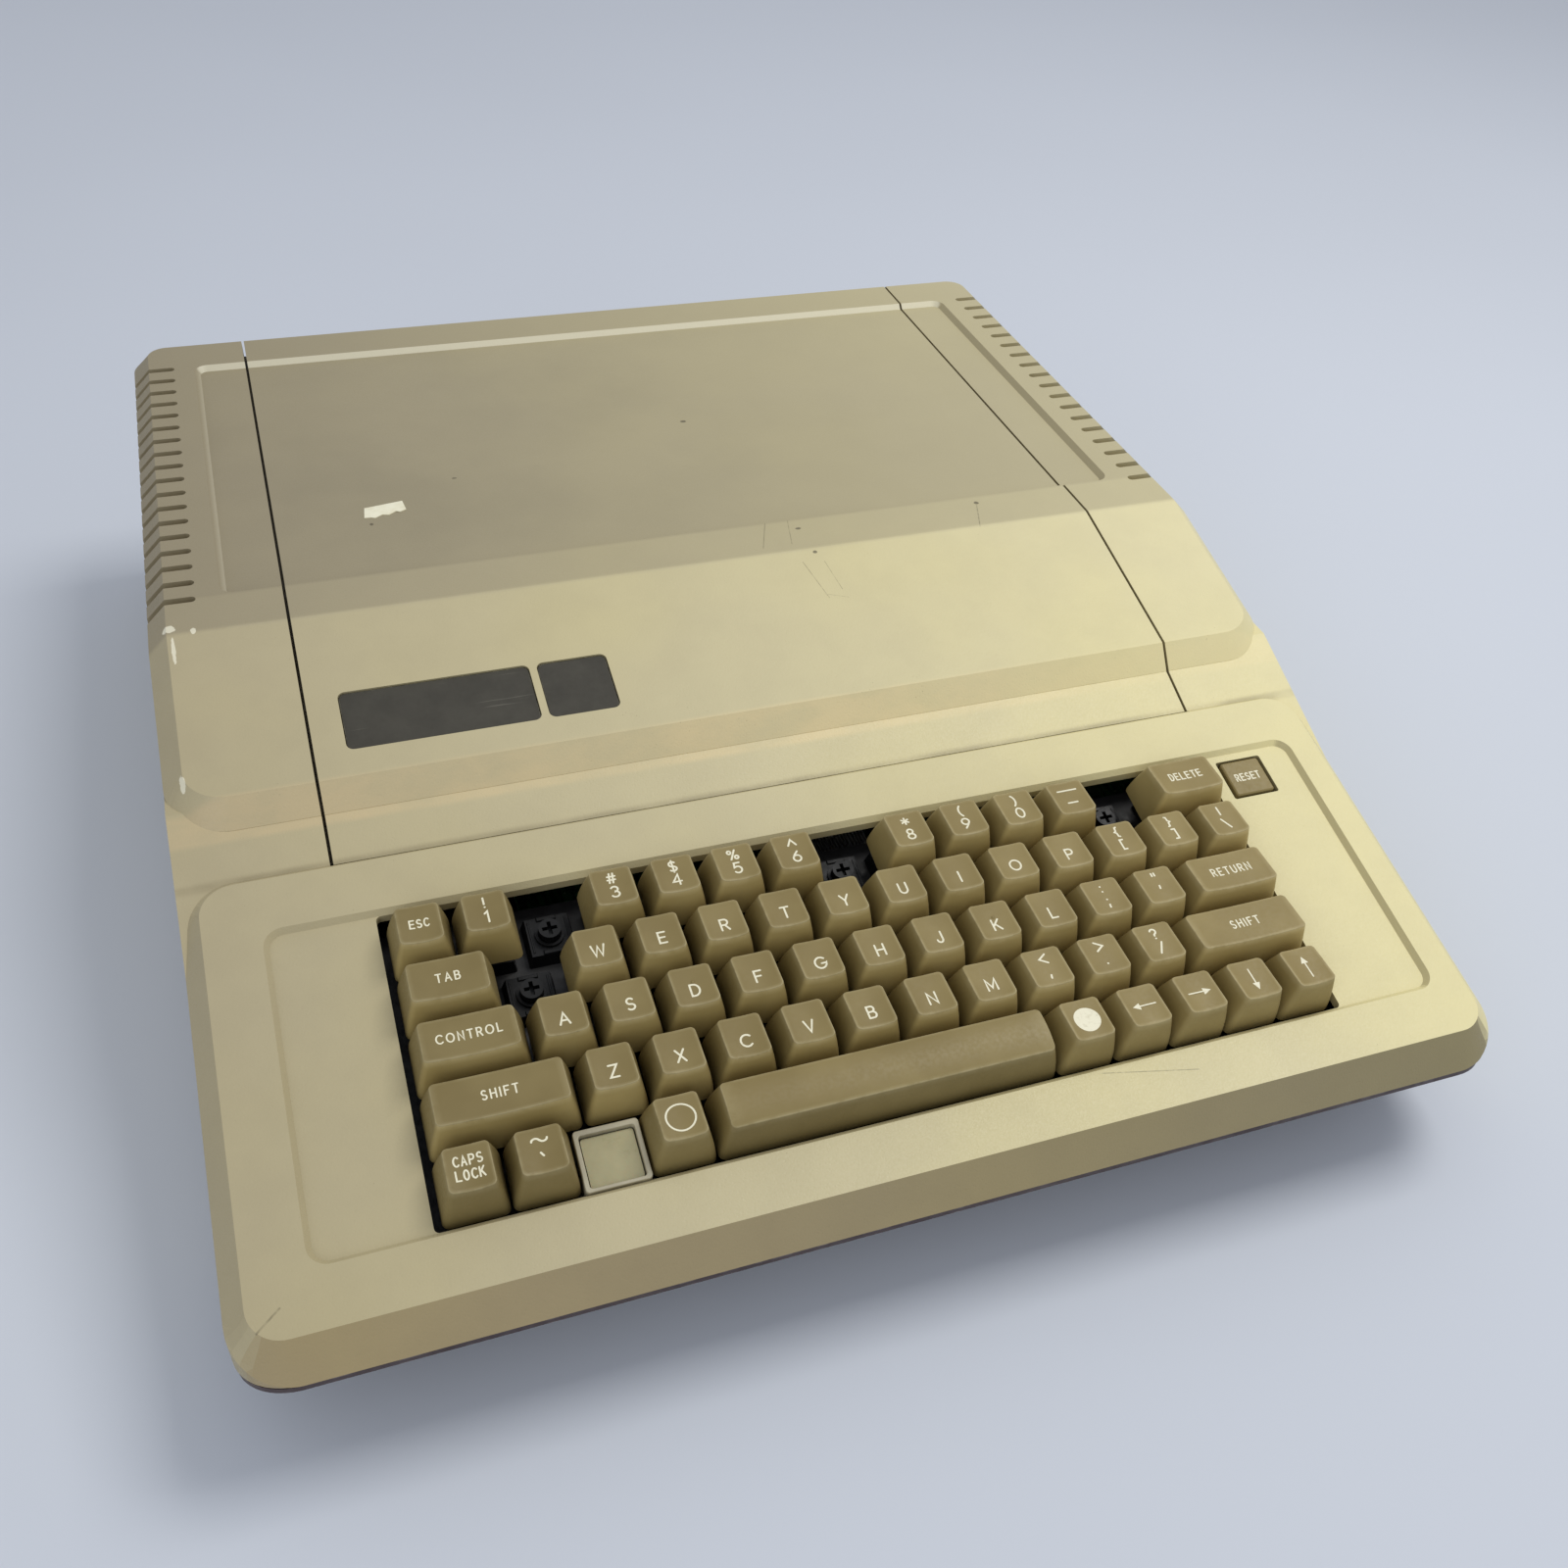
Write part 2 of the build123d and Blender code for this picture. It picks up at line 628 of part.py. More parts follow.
with BuildPart() as game_connector:
    with BuildSketch(rear_face(PANEL_OUT_Y + 2.6)):
        with Locations(GAME):
            RectangleRounded(*SHELL_SIZE, 1.5)
            for row, count in ((1.4, 5), (-1.4, 4)):
                with Locations((0, row)):
                    with GridLocations(2.76, 1, count, 1):
                        Circle(0.7, mode=Mode.SUBTRACT)
    extrude(amount=2.6 + PANEL_THICK)
    with BuildSketch(rear_face(PANEL_IN_Y)):
        with Locations(GAME):
            Rectangle(30, 12)
    extrude(amount=8)
save(game_connector.part, "game_connector")

with BuildPart() as mains_inlet:
    with BuildSketch(rear_face(PANEL_OUT_Y + 2.0)):
        with Locations(INLET):
            RectangleRounded(INLET_BODY[0] + 4, INLET_BODY[1] + 4, 2)
    extrude(amount=2.0)
    with BuildSketch(rear_face(PANEL_OUT_Y)):
        with Locations(INLET):
            Rectangle(*INLET_BODY)
    extrude(amount=20)
    with BuildSketch(rear_face(PANEL_OUT_Y + 2.0)):
        with Locations(INLET):
            RectangleRounded(*INLET_SOCKET, 3)
    extrude(amount=17, mode=Mode.SUBTRACT)
    with BuildSketch(rear_face(PANEL_OUT_Y - 15)):
        with Locations(INLET):
            with Locations((-7, -1.5), (0, 2.5), (7, -1.5)):
                Rectangle(2, 4)
    extrude(amount=-13)
save(mains_inlet.part, "mains_inlet")

# ---------------------------------------------------------------- power switch
PIVOT_Y = REAR - 6.4
PIN_R = 1.0
PIN_CLEAR = 0.05
ROCKER_TILT = 8.0
ROCKER_WIDTH = 10.2

with BuildPart() as switch_frame:
    with BuildSketch(rear_face(PANEL_OUT_Y + 1.6)):
        with Locations(SWITCH):
            RectangleRounded(FRAME_BODY[0] + 4, FRAME_BODY[1] + 4, 1.5)
    extrude(amount=1.6)
    with BuildSketch(rear_face(PANEL_OUT_Y)):
        with Locations(SWITCH):
            Rectangle(*FRAME_BODY)
    extrude(amount=18)
    with BuildSketch(rear_face(PANEL_OUT_Y + 1.6)):
        with Locations(SWITCH):
            Rectangle(*FRAME_HOLE)
    extrude(amount=14, mode=Mode.SUBTRACT)
    with Locations(Location((SWITCH[0], PIVOT_Y, SWITCH[1]), (0, 90, 0))):
        Cylinder(PIN_R + PIN_CLEAR, 12.4, mode=Mode.SUBTRACT)
save(switch_frame.part, "power_switch_frame")

with BuildPart() as rocker:
    with BuildSketch(Plane.YZ.offset(-ROCKER_WIDTH / 2)):
        with BuildLine():
            Polyline(
                (-4, -3.5), (-4, 3.5), (1.2, 7.4), (4.4, 7.4), (2.6, 0), (4.4, -7.4), (1.2, -7.4),
                close=True,
            )
        make_face()
    extrude(amount=ROCKER_WIDTH)
    with Locations(Location((0, 0, 0), (0, 90, 0))):
        Cylinder(PIN_R, 12.2)
with BuildPart() as power_switch:
    with Locations(Location((SWITCH[0], PIVOT_Y, SWITCH[1]), (ROCKER_TILT, 0, 0))):
        add(rocker.part)
save(power_switch.part, "power_switch")

# ================================================================ power supply
WIRE_EXIT = (SUPPLY_X[1], 30.0, 52.0)
WIRE_R = 3.0
SUPPLY_BOARD = (70.0, 190.0)
SUPPLY_POST_X = 30.0
SUPPLY_POST_Y = (-90.0, 75.0)
SUPPLY_POST_HEIGHT = 6.0
TRANSFORMER_CORE = (40.0, 36.0, 32.0)
TRANSFORMER_COIL = (50.0, 26.0, 20.0)
HEAT_SINK = (3.0, 60.0, 36.0)
CAPACITORS = ((-20, 50, 9, 34), (2, 50, 9, 34), (-20, -60, 6, 22), (-4, -60, 6, 22))
BOARD_X = (-90.0, 178.0)
BOARD_Y = (-62.0, 206.0)

with BuildPart() as power_supply_case:
    supply_width = SUPPLY_X[1] - SUPPLY_X[0]
    supply_length = SUPPLY_Y[1] - SUPPLY_Y[0]
    middle = (sum(SUPPLY_X) / 2, sum(SUPPLY_Y) / 2, CASE_BOTTOM)
    with Locations(middle):
        Box(supply_width, supply_length, SUPPLY_TOP - CASE_BOTTOM,
            align=(Align.CENTER, Align.CENTER, Align.MIN))
        Box(supply_width - 2 * SHEET, supply_length - 2 * SHEET, SUPPLY_TOP - CASE_BOTTOM - SHEET,
            align=(Align.CENTER, Align.CENTER, Align.MIN), mode=Mode.SUBTRACT)
    with BuildSketch(rear_face(PANEL_IN_Y + 1)):
        with Locations(INLET):
            Rectangle(*INLET_BODY)
        with Locations(SWITCH):
            Rectangle(*FRAME_BODY)
    extrude(amount=4, mode=Mode.SUBTRACT)
    with Locations(Location(WIRE_EXIT, (0, 90, 0))):
        Cylinder(WIRE_R, 10, mode=Mode.SUBTRACT)
    with Locations((middle[0], middle[1] - 60, SUPPLY_TOP)):
        with GridLocations(14, 8, 4, 8):
            Cylinder(2.5, 10, mode=Mode.SUBTRACT)
save(power_supply_case.part, "power_supply_case")

with BuildPart() as power_supply_board:
    with Locations((middle[0], middle[1] - 15, CASE_BOTTOM)):
        for y in SUPPLY_POST_Y:
            with Locations((-SUPPLY_POST_X, y, 0), (SUPPLY_POST_X, y, 0)):
                Cylinder(3, SUPPLY_POST_HEIGHT, align=(Align.CENTER, Align.CENTER, Align.MIN))
        with Locations((0, 0, SUPPLY_POST_HEIGHT)):
            Box(*SUPPLY_BOARD, BOARD_THICK, align=(Align.CENTER, Align.CENTER, Align.MIN))
    board_top = CASE_BOTTOM + SUPPLY_POST_HEIGHT + BOARD_THICK
    with Locations((middle[0] + 6, middle[1] - 5, board_top)):
        Box(*TRANSFORMER_CORE, align=(Align.CENTER, Align.CENTER, Align.MIN))
        with Locations((0, 0, (TRANSFORMER_CORE[2] - TRANSFORMER_COIL[2]) / 2)):
            Box(*TRANSFORMER_COIL, align=(Align.CENTER, Align.CENTER, Align.MIN))
    for x, y, radius, tall in CAPACITORS:
        with Locations((middle[0] + x, middle[1] + y, board_top)):
            Cylinder(radius, tall, align=(Align.CENTER, Align.CENTER, Align.MIN))
    with Locations((middle[0] + 24, middle[1] - 62, board_top)):
        Box(*HEAT_SINK, align=(Align.CENTER, Align.CENTER, Align.MIN))
save(power_supply_board.part, "power_supply_board")

PLUG_X = BOARD_X[0] + 14
PLUG_TOP = BOARD_TOP + 14
with BuildPart() as power_lead:
    with BuildLine() as lead_path:
        FilletPolyline(
            WIRE_EXIT,
            (PLUG_X, WIRE_EXIT[1], WIRE_EXIT[2]),
            (PLUG_X, WIRE_EXIT[1], PLUG_TOP),
            radius=9,
        )
    with BuildSketch(Plane(origin=WIRE_EXIT, z_dir=(1, 0, 0))):
        Circle(WIRE_R)
    sweep(path=lead_path.line)
    with Locations((PLUG_X, WIRE_EXIT[1], BOARD_TOP)):
        Box(10, 26, PLUG_TOP - BOARD_TOP, align=(Align.CENTER, Align.CENTER, Align.MIN))
save(power_lead.part, "power_lead")

# ================================================================ main board
SLOT_COUNT = 7
SLOT_PITCH = 21.0
SLOT_FIRST_X = -64.0
SLOT_BODY = (8.5, 68.0, 13.0)
CARD_GAP = 1.8
AUX_SLOT = (112.0, 60.0)
SMALL_CHIP = (7.6, 19.6, 4.2)
ROM_CHIP = (15.2, 36.0, 4.6)
PROCESSOR_CHIP = (15.2, 51.0, 4.6)
# Chip size, middle of its row on the board, distance from chip to chip, and how many.
CHIP_ROWS = (
    (SMALL_CHIP, (40.0, -44.0), 14.0, 8),
    (SMALL_CHIP, (0.0, 82.0), 17.0, 6),
    (SMALL_CHIP, (0.0, 112.0), 17.0, 6),
    (PROCESSOR_CHIP, (30.0, 40.0), 28.0, 5),
    (ROM_CHIP, (30.0, -10.0), 28.0, 5),
)

with BuildPart() as main_board:
    with Locations((sum(BOARD_X) / 2, sum(BOARD_Y) / 2, BOARD_Z)):
        Box(BOARD_X[1] - BOARD_X[0], BOARD_Y[1] - BOARD_Y[0], BOARD_THICK,
            align=(Align.CENTER, Align.CENTER, Align.MIN))
save(main_board.part, "main_board")

with BuildPart() as board_standoffs:
    with Locations(*[(x, y, CASE_BOTTOM) for x, y in POST_SPOTS]):
        Cylinder(3.2, BOARD_Z - CASE_BOTTOM, align=(Align.CENTER, Align.CENTER, Align.MIN))
save(board_standoffs.part, "board_standoffs")

with BuildPart() as expansion_slots:
    spots = [(SLOT_FIRST_X + k * SLOT_PITCH, 158.0, BOARD_TOP) for k in range(SLOT_COUNT)]
    with Locations(*spots, (*AUX_SLOT, BOARD_TOP)):
        Box(*SLOT_BODY, align=(Align.CENTER, Align.CENTER, Align.MIN))
        with Locations((0, 0, 4)):
            Box(CARD_GAP, SLOT_BODY[1] - 6, SLOT_BODY[2],
                align=(Align.CENTER, Align.CENTER, Align.MIN), mode=Mode.SUBTRACT)
save(expansion_slots.part, "expansion_slots")

with BuildPart() as board_chips:
    for size, spot, gap, count in CHIP_ROWS:
        with Locations((*spot, BOARD_TOP)):
            with GridLocations(gap, 1, count, 1):
                Box(*size, align=(Align.CENTER, Align.CENTER, Align.MIN))
save(board_chips.part, "board_chips")

SPEAKER = (-140.0, -70.0)
SPEAKER_R = 28.0
SPEAKER_RIM = 3.0
MAGNET_R = 11.0
MAGNET_TOP = 16.0

with BuildPart() as speaker:
    with Locations((*SPEAKER, CASE_BOTTOM)):
        Cylinder(SPEAKER_R, SPEAKER_RIM, align=(Align.CENTER, Align.CENTER, Align.MIN))
        Cylinder(MAGNET_R, MAGNET_TOP, align=(Align.CENTER, Align.CENTER, Align.MIN))
        with Locations((0, 0, SPEAKER_RIM)):
            Cone(SPEAKER_R - 2, MAGNET_R - 1, 9, align=(Align.CENTER, Align.CENTER, Align.MIN))
save(speaker.part, "speaker")

# ================================================================ keyboard frame
ROWS = (
    (("esc", 1), ("1", 1), ("2", 1), ("3", 1), ("4", 1), ("5", 1), ("6", 1), ("7", 1), ("8", 1),
     ("9", 1), ("0", 1), ("minus", 1), ("equals", 1), ("delete", 1.5)),
    (("tab", 1.5), ("q", 1), ("w", 1), ("e", 1), ("r", 1), ("t", 1), ("y", 1), ("u", 1), ("i", 1),
     ("o", 1), ("p", 1), ("left_bracket", 1), ("right_bracket", 1), ("backslash", 1)),
    (("control", 1.75), ("a", 1), ("s", 1), ("d", 1), ("f", 1), ("g", 1), ("h", 1), ("j", 1),
     ("k", 1), ("l", 1), ("semicolon", 1), ("quote", 1), ("return", 1.75)),
    (("shift_left", 2.25), ("z", 1), ("x", 1), ("c", 1), ("v", 1), ("b", 1), ("n", 1), ("m", 1),
     ("comma", 1), ("period", 1), ("slash", 1), ("shift_right", 2.25)),
    (("caps_lock", 1), ("tilde", 1), ("lamp", 1), ("hollow_mark", 1), ("space", 5.5),
     ("solid_mark", 1), ("left", 1), ("right", 1), ("down", 1), ("up", 1)),
)
MISSING = ("2", "q", "7", "equals")
RESET = "reset"

# Every cell's centre on the deck and its width in key pitches.
cells = {RESET: (*RESET_CELL, 1)}
for row_number, row in enumerate(ROWS):
    left = KEYS_LEFT
    for key_name, units in row:
        centre_x = left + units * PITCH / 2
        centre_y = -(ROW_START + (row_number + 0.5) * PITCH)
        cells[key_name] = (centre_x, centre_y, units)
        left += units * PITCH
lamp_x, lamp_y, _ = cells.pop("lamp")
spots = [(x, y) for x, y, _ in cells.values()]


def on_deck(names):
    """The deck locations of the named cells."""
    return [DECK.location * Location((cells[n][0], cells[n][1], 0)) for n in names]


keyboard_centre = (sum(KEYBOARD_X) / 2, sum(KEYBOARD_Y) / 2)
keyboard_size = (KEYBOARD_X[1] - KEYBOARD_X[0], KEYBOARD_Y[0] - KEYBOARD_Y[1])

with BuildPart() as keyboard_plate:
    with BuildSketch(DECK.offset(PLATE_TOP)):
        with Locations(keyboard_centre):
            Rectangle(*keyboard_size)
        with Locations(*spots):
            Rectangle(PLATE_HOLE, PLATE_HOLE, mode=Mode.SUBTRACT)
        with Locations(*KEYBOARD_BOSSES):
            Circle(PAN_HOLE_R, mode=Mode.SUBTRACT)
    extrude(amount=-PLATE_THICK)
save(keyboard_plate.part, "keyboard_plate")

with BuildPart() as keyboard_board:
    with BuildSketch(DECK.offset(HOUSING_FOOT)):
        with Locations(keyboard_centre):
            Rectangle(*keyboard_size)
        with Locations(*KEYBOARD_BOSSES):
            Circle(PAN_HOLE_R, mode=Mode.SUBTRACT)
    extrude(amount=-BOARD_THICK)
save(keyboard_board.part, "keyboard_board")

with BuildPart() as housing:
    with BuildSketch(Plane.XY.offset(HOUSING_FOOT)):
        Rectangle(HOUSING_BODY, HOUSING_BODY)
    extrude(amount=PLATE_TOP - HOUSING_FOOT)
    with BuildSketch(Plane.XY.offset(PLATE_TOP)):
        RectangleRounded(HOUSING_SIZE, HOUSING_SIZE, 0.8)
    extrude(amount=HOUSING_TOP - PLATE_TOP, taper=12)
    with Locations((0, 0, HOUSING_TOP)):
        Cylinder(BORE_R, 12.4, align=(Align.CENTER, Align.CENTER, Align.MAX), mode=Mode.SUBTRACT)

with BuildPart() as switch_housings:
    with Locations(*on_deck(cells)):
        add(housing.part)
save(switch_housings.part, "switch_housings")

CABLE_X = 20.0
CABLE_WIDTH = 30.0
CABLE_THICK = 1.0
SOCKET_Y = -58.0
ribbon_y = -107.0
with BuildPart() as keyboard_cable:
    keyboard_under = deck_z(ribbon_y) + (HOUSING_FOOT - BOARD_THICK) / cos(radians(DECK_ANGLE))
    with BuildSketch(Plane.YZ.offset(CABLE_X - CABLE_WIDTH / 2)):
        with BuildLine() as run:
            FilletPolyline(
                (ribbon_y, keyboard_under - CABLE_THICK),
                (ribbon_y, 34),
                (SOCKET_Y, 34),
                (SOCKET_Y, BOARD_TOP + 8),
                radius=4,
            )
            offset(amount=CABLE_THICK / 2, side=Side.BOTH, mode=Mode.REPLACE)
        make_face()
    extrude(amount=CABLE_WIDTH)
    with Locations((CABLE_X, SOCKET_Y, BOARD_TOP)):
        Box(CABLE_WIDTH + 4, 6, 8, align=(Align.CENTER, Align.CENTER, Align.MIN))
save(keyboard_cable.part, "keyboard_cable")

# ---------------------------------------------------------------- power light
LAMP_OUTER = (18.6, 18.2)
LAMP_INNER = (15.8, 15.4)
LAMP_INNER_R = 0.9
LAMP_INNER_SHIFT = -0.3  # the opening sits towards the front of its frame
LAMP_TOP = -0.4
LENS_SIZE = (15.0, 14.6)
LENS_THICK = 2.0
LENS_TOP = -2.2
LENS_STEM_R = 2.5
lamp_spot = (lamp_x, -OPENING[2] + LAMP_OUTER[1] / 2 + 0.1)
lens_spot = (lamp_spot[0], lamp_spot[1] + LAMP_INNER_SHIFT)

with BuildPart() as power_light_frame:
    with BuildSketch(DECK.offset(PLATE_TOP)):
        with Locations(lamp_spot):
            RectangleRounded(*LAMP_OUTER, 1.2)
        with Locations(lens_spot):
            RectangleRounded(*LAMP_INNER, LAMP_INNER_R, mode=Mode.SUBTRACT)
    extrude(amount=LAMP_TOP - PLATE_TOP)
save(power_light_frame.part, "power_light_frame")

with BuildPart() as power_light_lens:
    with BuildSketch(DECK.offset(LENS_TOP)):
        with Locations(lens_spot):
            RectangleRounded(*LENS_SIZE, LAMP_INNER_R)
    extrude(amount=-LENS_THICK)
    with BuildSketch(DECK.offset(PLATE_TOP)):
        with Locations(lens_spot):
            Circle(LENS_STEM_R)
    extrude(amount=LENS_TOP - LENS_THICK - PLATE_TOP)
save(power_light_lens.part, "power_light_lens")

# ================================================================ keys
TOP_PLANE = Plane(
    origin=(0, CAP_TOP_SHIFT, CAP_TOP),
    x_dir=(1, 0, 0),
    z_dir=(0, -sin(radians(CAP_TILT)), cos(radians(CAP_TILT))),
)
SPACE_CROWN_R = 22.0
RESET_CAP = (14.8, 14.0)
RESET_TOP = -1.3


def plunger():
    """Add the sliding stem that a cap stands on to the open part."""
    with Locations((0, 0, PLUNGER_BOTTOM)):
        Cylinder(PLUNGER_R, PLUNGER_TOP - PLUNGER_BOTTOM, align=(Align.CENTER, Align.CENTER, Align.MIN))


def key_cap(units, crowned=False):
    """A hollow cap with a sloping dished top, or a crowned one, and its plunger."""
    base_width = units * PITCH - CAP_BASE_GAP
    top_width = units * PITCH - CAP_TOP_GAP
    with BuildPart() as cap:
        with BuildSketch(Plane.XY.offset(CAP_SKIRT)):
            RectangleRounded(base_width, CAP_BASE_LENGTH, 1.0)
        with BuildSketch(TOP_PLANE):
            RectangleRounded(top_width, CAP_TOP_LENGTH, 1.8)
        loft(ruled=True)
        if crowned:
            drop = TOP_PLANE.offset(-SPACE_CROWN_R)
            with BuildSketch(Plane.YZ.offset(-base_width / 2 - 1)):
                with Locations((CAP_TOP_SHIFT, 2)):
                    Rectangle(CAP_BASE_LENGTH + 4, 30)
                with Locations((drop.origin.Y, drop.origin.Z)):
                    Circle(SPACE_CROWN_R, mode=Mode.SUBTRACT)
                with Locations((CAP_TOP_SHIFT, -10)):
                    Rectangle(60, 34, mode=Mode.SUBTRACT)
            extrude(amount=base_width + 2, mode=Mode.SUBTRACT)
        else:
            dish_r = (top_width / 2) ** 2 / (2 * DISH_DEPTH) + DISH_DEPTH / 2
            with Locations(TOP_PLANE.location * Location((0, 0, dish_r - DISH_DEPTH), (90, 0, 0))):
                Cylinder(dish_r, 3 * CAP_BASE_LENGTH, mode=Mode.SUBTRACT)
        with BuildSketch(Plane.XY.offset(CAP_SKIRT)):
            RectangleRounded(base_width - 2 * CAP_WALL, CAP_BASE_LENGTH - 2 * CAP_WALL, 0.6)
        with BuildSketch(TOP_PLANE.offset(-2.4)):
            RectangleRounded(top_width - 1.6, CAP_TOP_LENGTH - 1.6, 1.0)
        loft(ruled=True, mode=Mode.SUBTRACT)
        with Locations((0, 0, PLUNGER_TOP)):
            Cylinder(POST_R, CAP_TOP - 1.5 - PLUNGER_TOP, align=(Align.CENTER, Align.CENTER, Align.MIN))
        plunger()
    return cap.part


with BuildPart() as reset_cap:
    with BuildSketch(Plane.XY.offset(RESET_TOP)):
        RectangleRounded(*RESET_CAP, 1.0)
    extrude(amount=CAP_SKIRT - RESET_TOP)
    chamfer(reset_cap.faces().sort_by(Axis.Z)[-1].edges(), 0.5)
    with Locations((0, 0, PLUNGER_TOP)):
        Cylinder(POST_R, 4, align=(Align.CENTER, Align.CENTER, Align.MIN))
    plunger()

with BuildPart() as bare_plunger:
    plunger()
    with Locations((0, 0, PLUNGER_TOP)):
        Box(4.6, 1.2, 5, mode=Mode.SUBTRACT)
        Box(1.2, 4.6, 5, mode=Mode.SUBTRACT)

caps = {units: key_cap(units) for units in (1, 1.5, 1.75, 2.25)}
caps[5.5] = key_cap(5.5, crowned=True)

SINGLES = (
    "esc", "delete", "tab", "control", "a", "s", "d", "f", "g", "h", "j", "k", "l", "return",
    "shift_left", "shift_right", "caps_lock", "tilde", "hollow_mark", "space", "solid_mark",
    "left", "right", "down", "up",
)
BANKS = {
    "number_keys": ("1", "3", "4", "5", "6", "8", "9", "0", "minus"),
    "upper_letter_keys": ("w", "e", "r", "t", "y", "u", "i", "o", "p"),
    "lower_letter_keys": ("z", "x", "c", "v", "b", "n", "m", "comma", "period", "slash"),
    "punctuation_keys": ("left_bracket", "right_bracket", "backslash", "semicolon", "quote"),
}
for key_name in SINGLES:
    with BuildPart() as key:
        with Locations(*on_deck([key_name])):
            add(caps[cells[key_name][2]])
    save(key.part, f"key_{key_name}")
for bank_name, members in BANKS.items():
    with BuildPart() as bank:
        with Locations(*on_deck(members)):
            add(caps[1])
    save(bank.part, bank_name)
with BuildPart() as key_reset:
    with Locations(*on_deck([RESET])):
        add(reset_cap.part)
save(key_reset.part, "key_reset")
with BuildPart() as bare_plungers:
    with Locations(*on_deck(MISSING)):
        add(bare_plunger.part)
save(bare_plungers.part, "bare_plungers")
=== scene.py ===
"""Finish and small parts for a desk-top home computer, laid out as a Blender add-on.

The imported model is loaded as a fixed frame. Each operator dresses one piece, or one group of like
pieces, on that frame: the case shells, the keys with their legends, the sockets and the boards.
Everything is in metres, in the frame's own axes: +X to the user's right, -Y towards the user.
"""

import math
import random

import bmesh
import bpy
from bpy.props import FloatProperty, FloatVectorProperty, PointerProperty
from mathutils import Matrix, Vector


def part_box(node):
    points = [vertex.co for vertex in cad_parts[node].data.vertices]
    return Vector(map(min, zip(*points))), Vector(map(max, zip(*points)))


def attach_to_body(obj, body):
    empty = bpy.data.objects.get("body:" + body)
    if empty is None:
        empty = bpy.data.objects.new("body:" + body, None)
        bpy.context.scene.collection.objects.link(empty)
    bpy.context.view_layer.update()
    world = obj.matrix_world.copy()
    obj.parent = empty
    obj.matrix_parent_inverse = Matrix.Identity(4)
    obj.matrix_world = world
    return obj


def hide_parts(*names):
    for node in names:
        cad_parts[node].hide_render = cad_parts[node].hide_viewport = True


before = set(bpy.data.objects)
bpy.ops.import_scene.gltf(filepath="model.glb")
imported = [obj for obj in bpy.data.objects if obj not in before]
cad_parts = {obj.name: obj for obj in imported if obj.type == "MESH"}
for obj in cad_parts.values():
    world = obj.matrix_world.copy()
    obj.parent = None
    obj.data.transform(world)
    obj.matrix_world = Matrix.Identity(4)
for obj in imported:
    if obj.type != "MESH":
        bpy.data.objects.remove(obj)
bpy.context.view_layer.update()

bl_info = {
    "name": "Desk-top Computer Finish",
    "version": (1, 0, 0),
    "blender": (4, 5, 0),
    "location": "View3D > Sidebar > Computer",
    "description": "Dresses the pieces of a desk-top home computer",
    "category": "Object",
}

MM = 0.001


# ------------------------------------------------------------------ settings
def srgb(red, green, blue):
    """A colour given as it is seen, 0 to 255 a channel, in the linear values that shaders take."""

    def linear(value):
        share = value / 255
        return share / 12.92 if share <= 0.04045 else ((share + 0.055) / 1.055) ** 2.4

    return linear(red), linear(green), linear(blue)


def colour(name, description, red, green, blue):
    """A colour property with its default."""
    return FloatVectorProperty(
        name=name, description=description, subtype="COLOR", size=3, min=0, max=1,
        default=srgb(red, green, blue),
    )


def length(name, description, millimetres):
    """A length property with its default, given in millimetres."""
    return FloatProperty(
        name=name, description=description, unit="LENGTH", min=0, default=millimetres * MM,
    )


def share(name, description, value):
    """A property from 0 to 1."""
    return FloatProperty(
        name=name, description=description, subtype="FACTOR", min=0, max=1, default=value,
    )


def tint(name, description, value):
    """What a colour is multiplied by, channel by channel."""
    return FloatVectorProperty(
        name=name, description=description, subtype="COLOR", size=3, min=0, max=2, default=value,
    )


def power(name, description, watts):
    """A lamp's power with its default, given in watts."""
    return FloatProperty(
        name=name, description=description, unit="POWER", min=0, default=watts,
    )


def angle(name, description, degrees):
    """An angle property with its default, given in degrees."""
    return FloatProperty(
        name=name, description=description, unit="ROTATION", default=math.radians(degrees),
    )


class CaseFinish(bpy.types.PropertyGroup):
    """Colours, wear and painted light and shade of the moulded case."""

    plastic: colour("Plastic", "The beige of the moulding", 206, 197, 160)
    yellowed: colour("Yellowed", "Where age has turned the plastic", 213, 203, 152)
    # Greyed also paints the shade of the flat top.
    greyed: colour("Greyed", "Where hands and dust have dulled it", 158, 149, 124)
    dusty: colour("Dusty", "Smudges on the tray in the top", 136, 129, 108)
    # Grime serves both as dirt and as painted shade on walls facing left, in corners and along the
    # crease.
    grime_and_shade: colour("Grime", "Dirt in the corners and seams", 112, 98, 68)
    # Lighter than the plastic: part real tan stain, part painted light on the front-facing step.
    stain_and_light: colour("Stain", "Old tan staining along the step", 224, 207, 164)
    scratch: colour("Scratch", "Thin scratches and dark specks", 84, 76, 56)
    # Residue also paints the highlight on the tray's rear and left walls.
    residue_and_highlight: colour("Residue", "Chips and old glue", 240, 234, 208)
    # Painted light: the left and right tints darken the plastic to the left and lighten it to the
    # right, as light and sheen fall across the case.
    left_painted_shade: tint("Left tint", "Change of the plastic's colour at the left", (0.76, 0.72, 0.70))
    right_painted_light: tint("Right tint", "Change of the plastic's colour at the right", (1.30, 1.29, 1.18))
    # Partly dust, partly painted shade on the flat top.
    top_dust_and_shade: share("Top dullness", "How far the flat top has greyed", 0.72)
    edge_radius: length("Edge radius", "Rounding of the moulded edges", 0.6)
    grain_height: length("Grain height", "Depth of the moulded grain", 0.06)


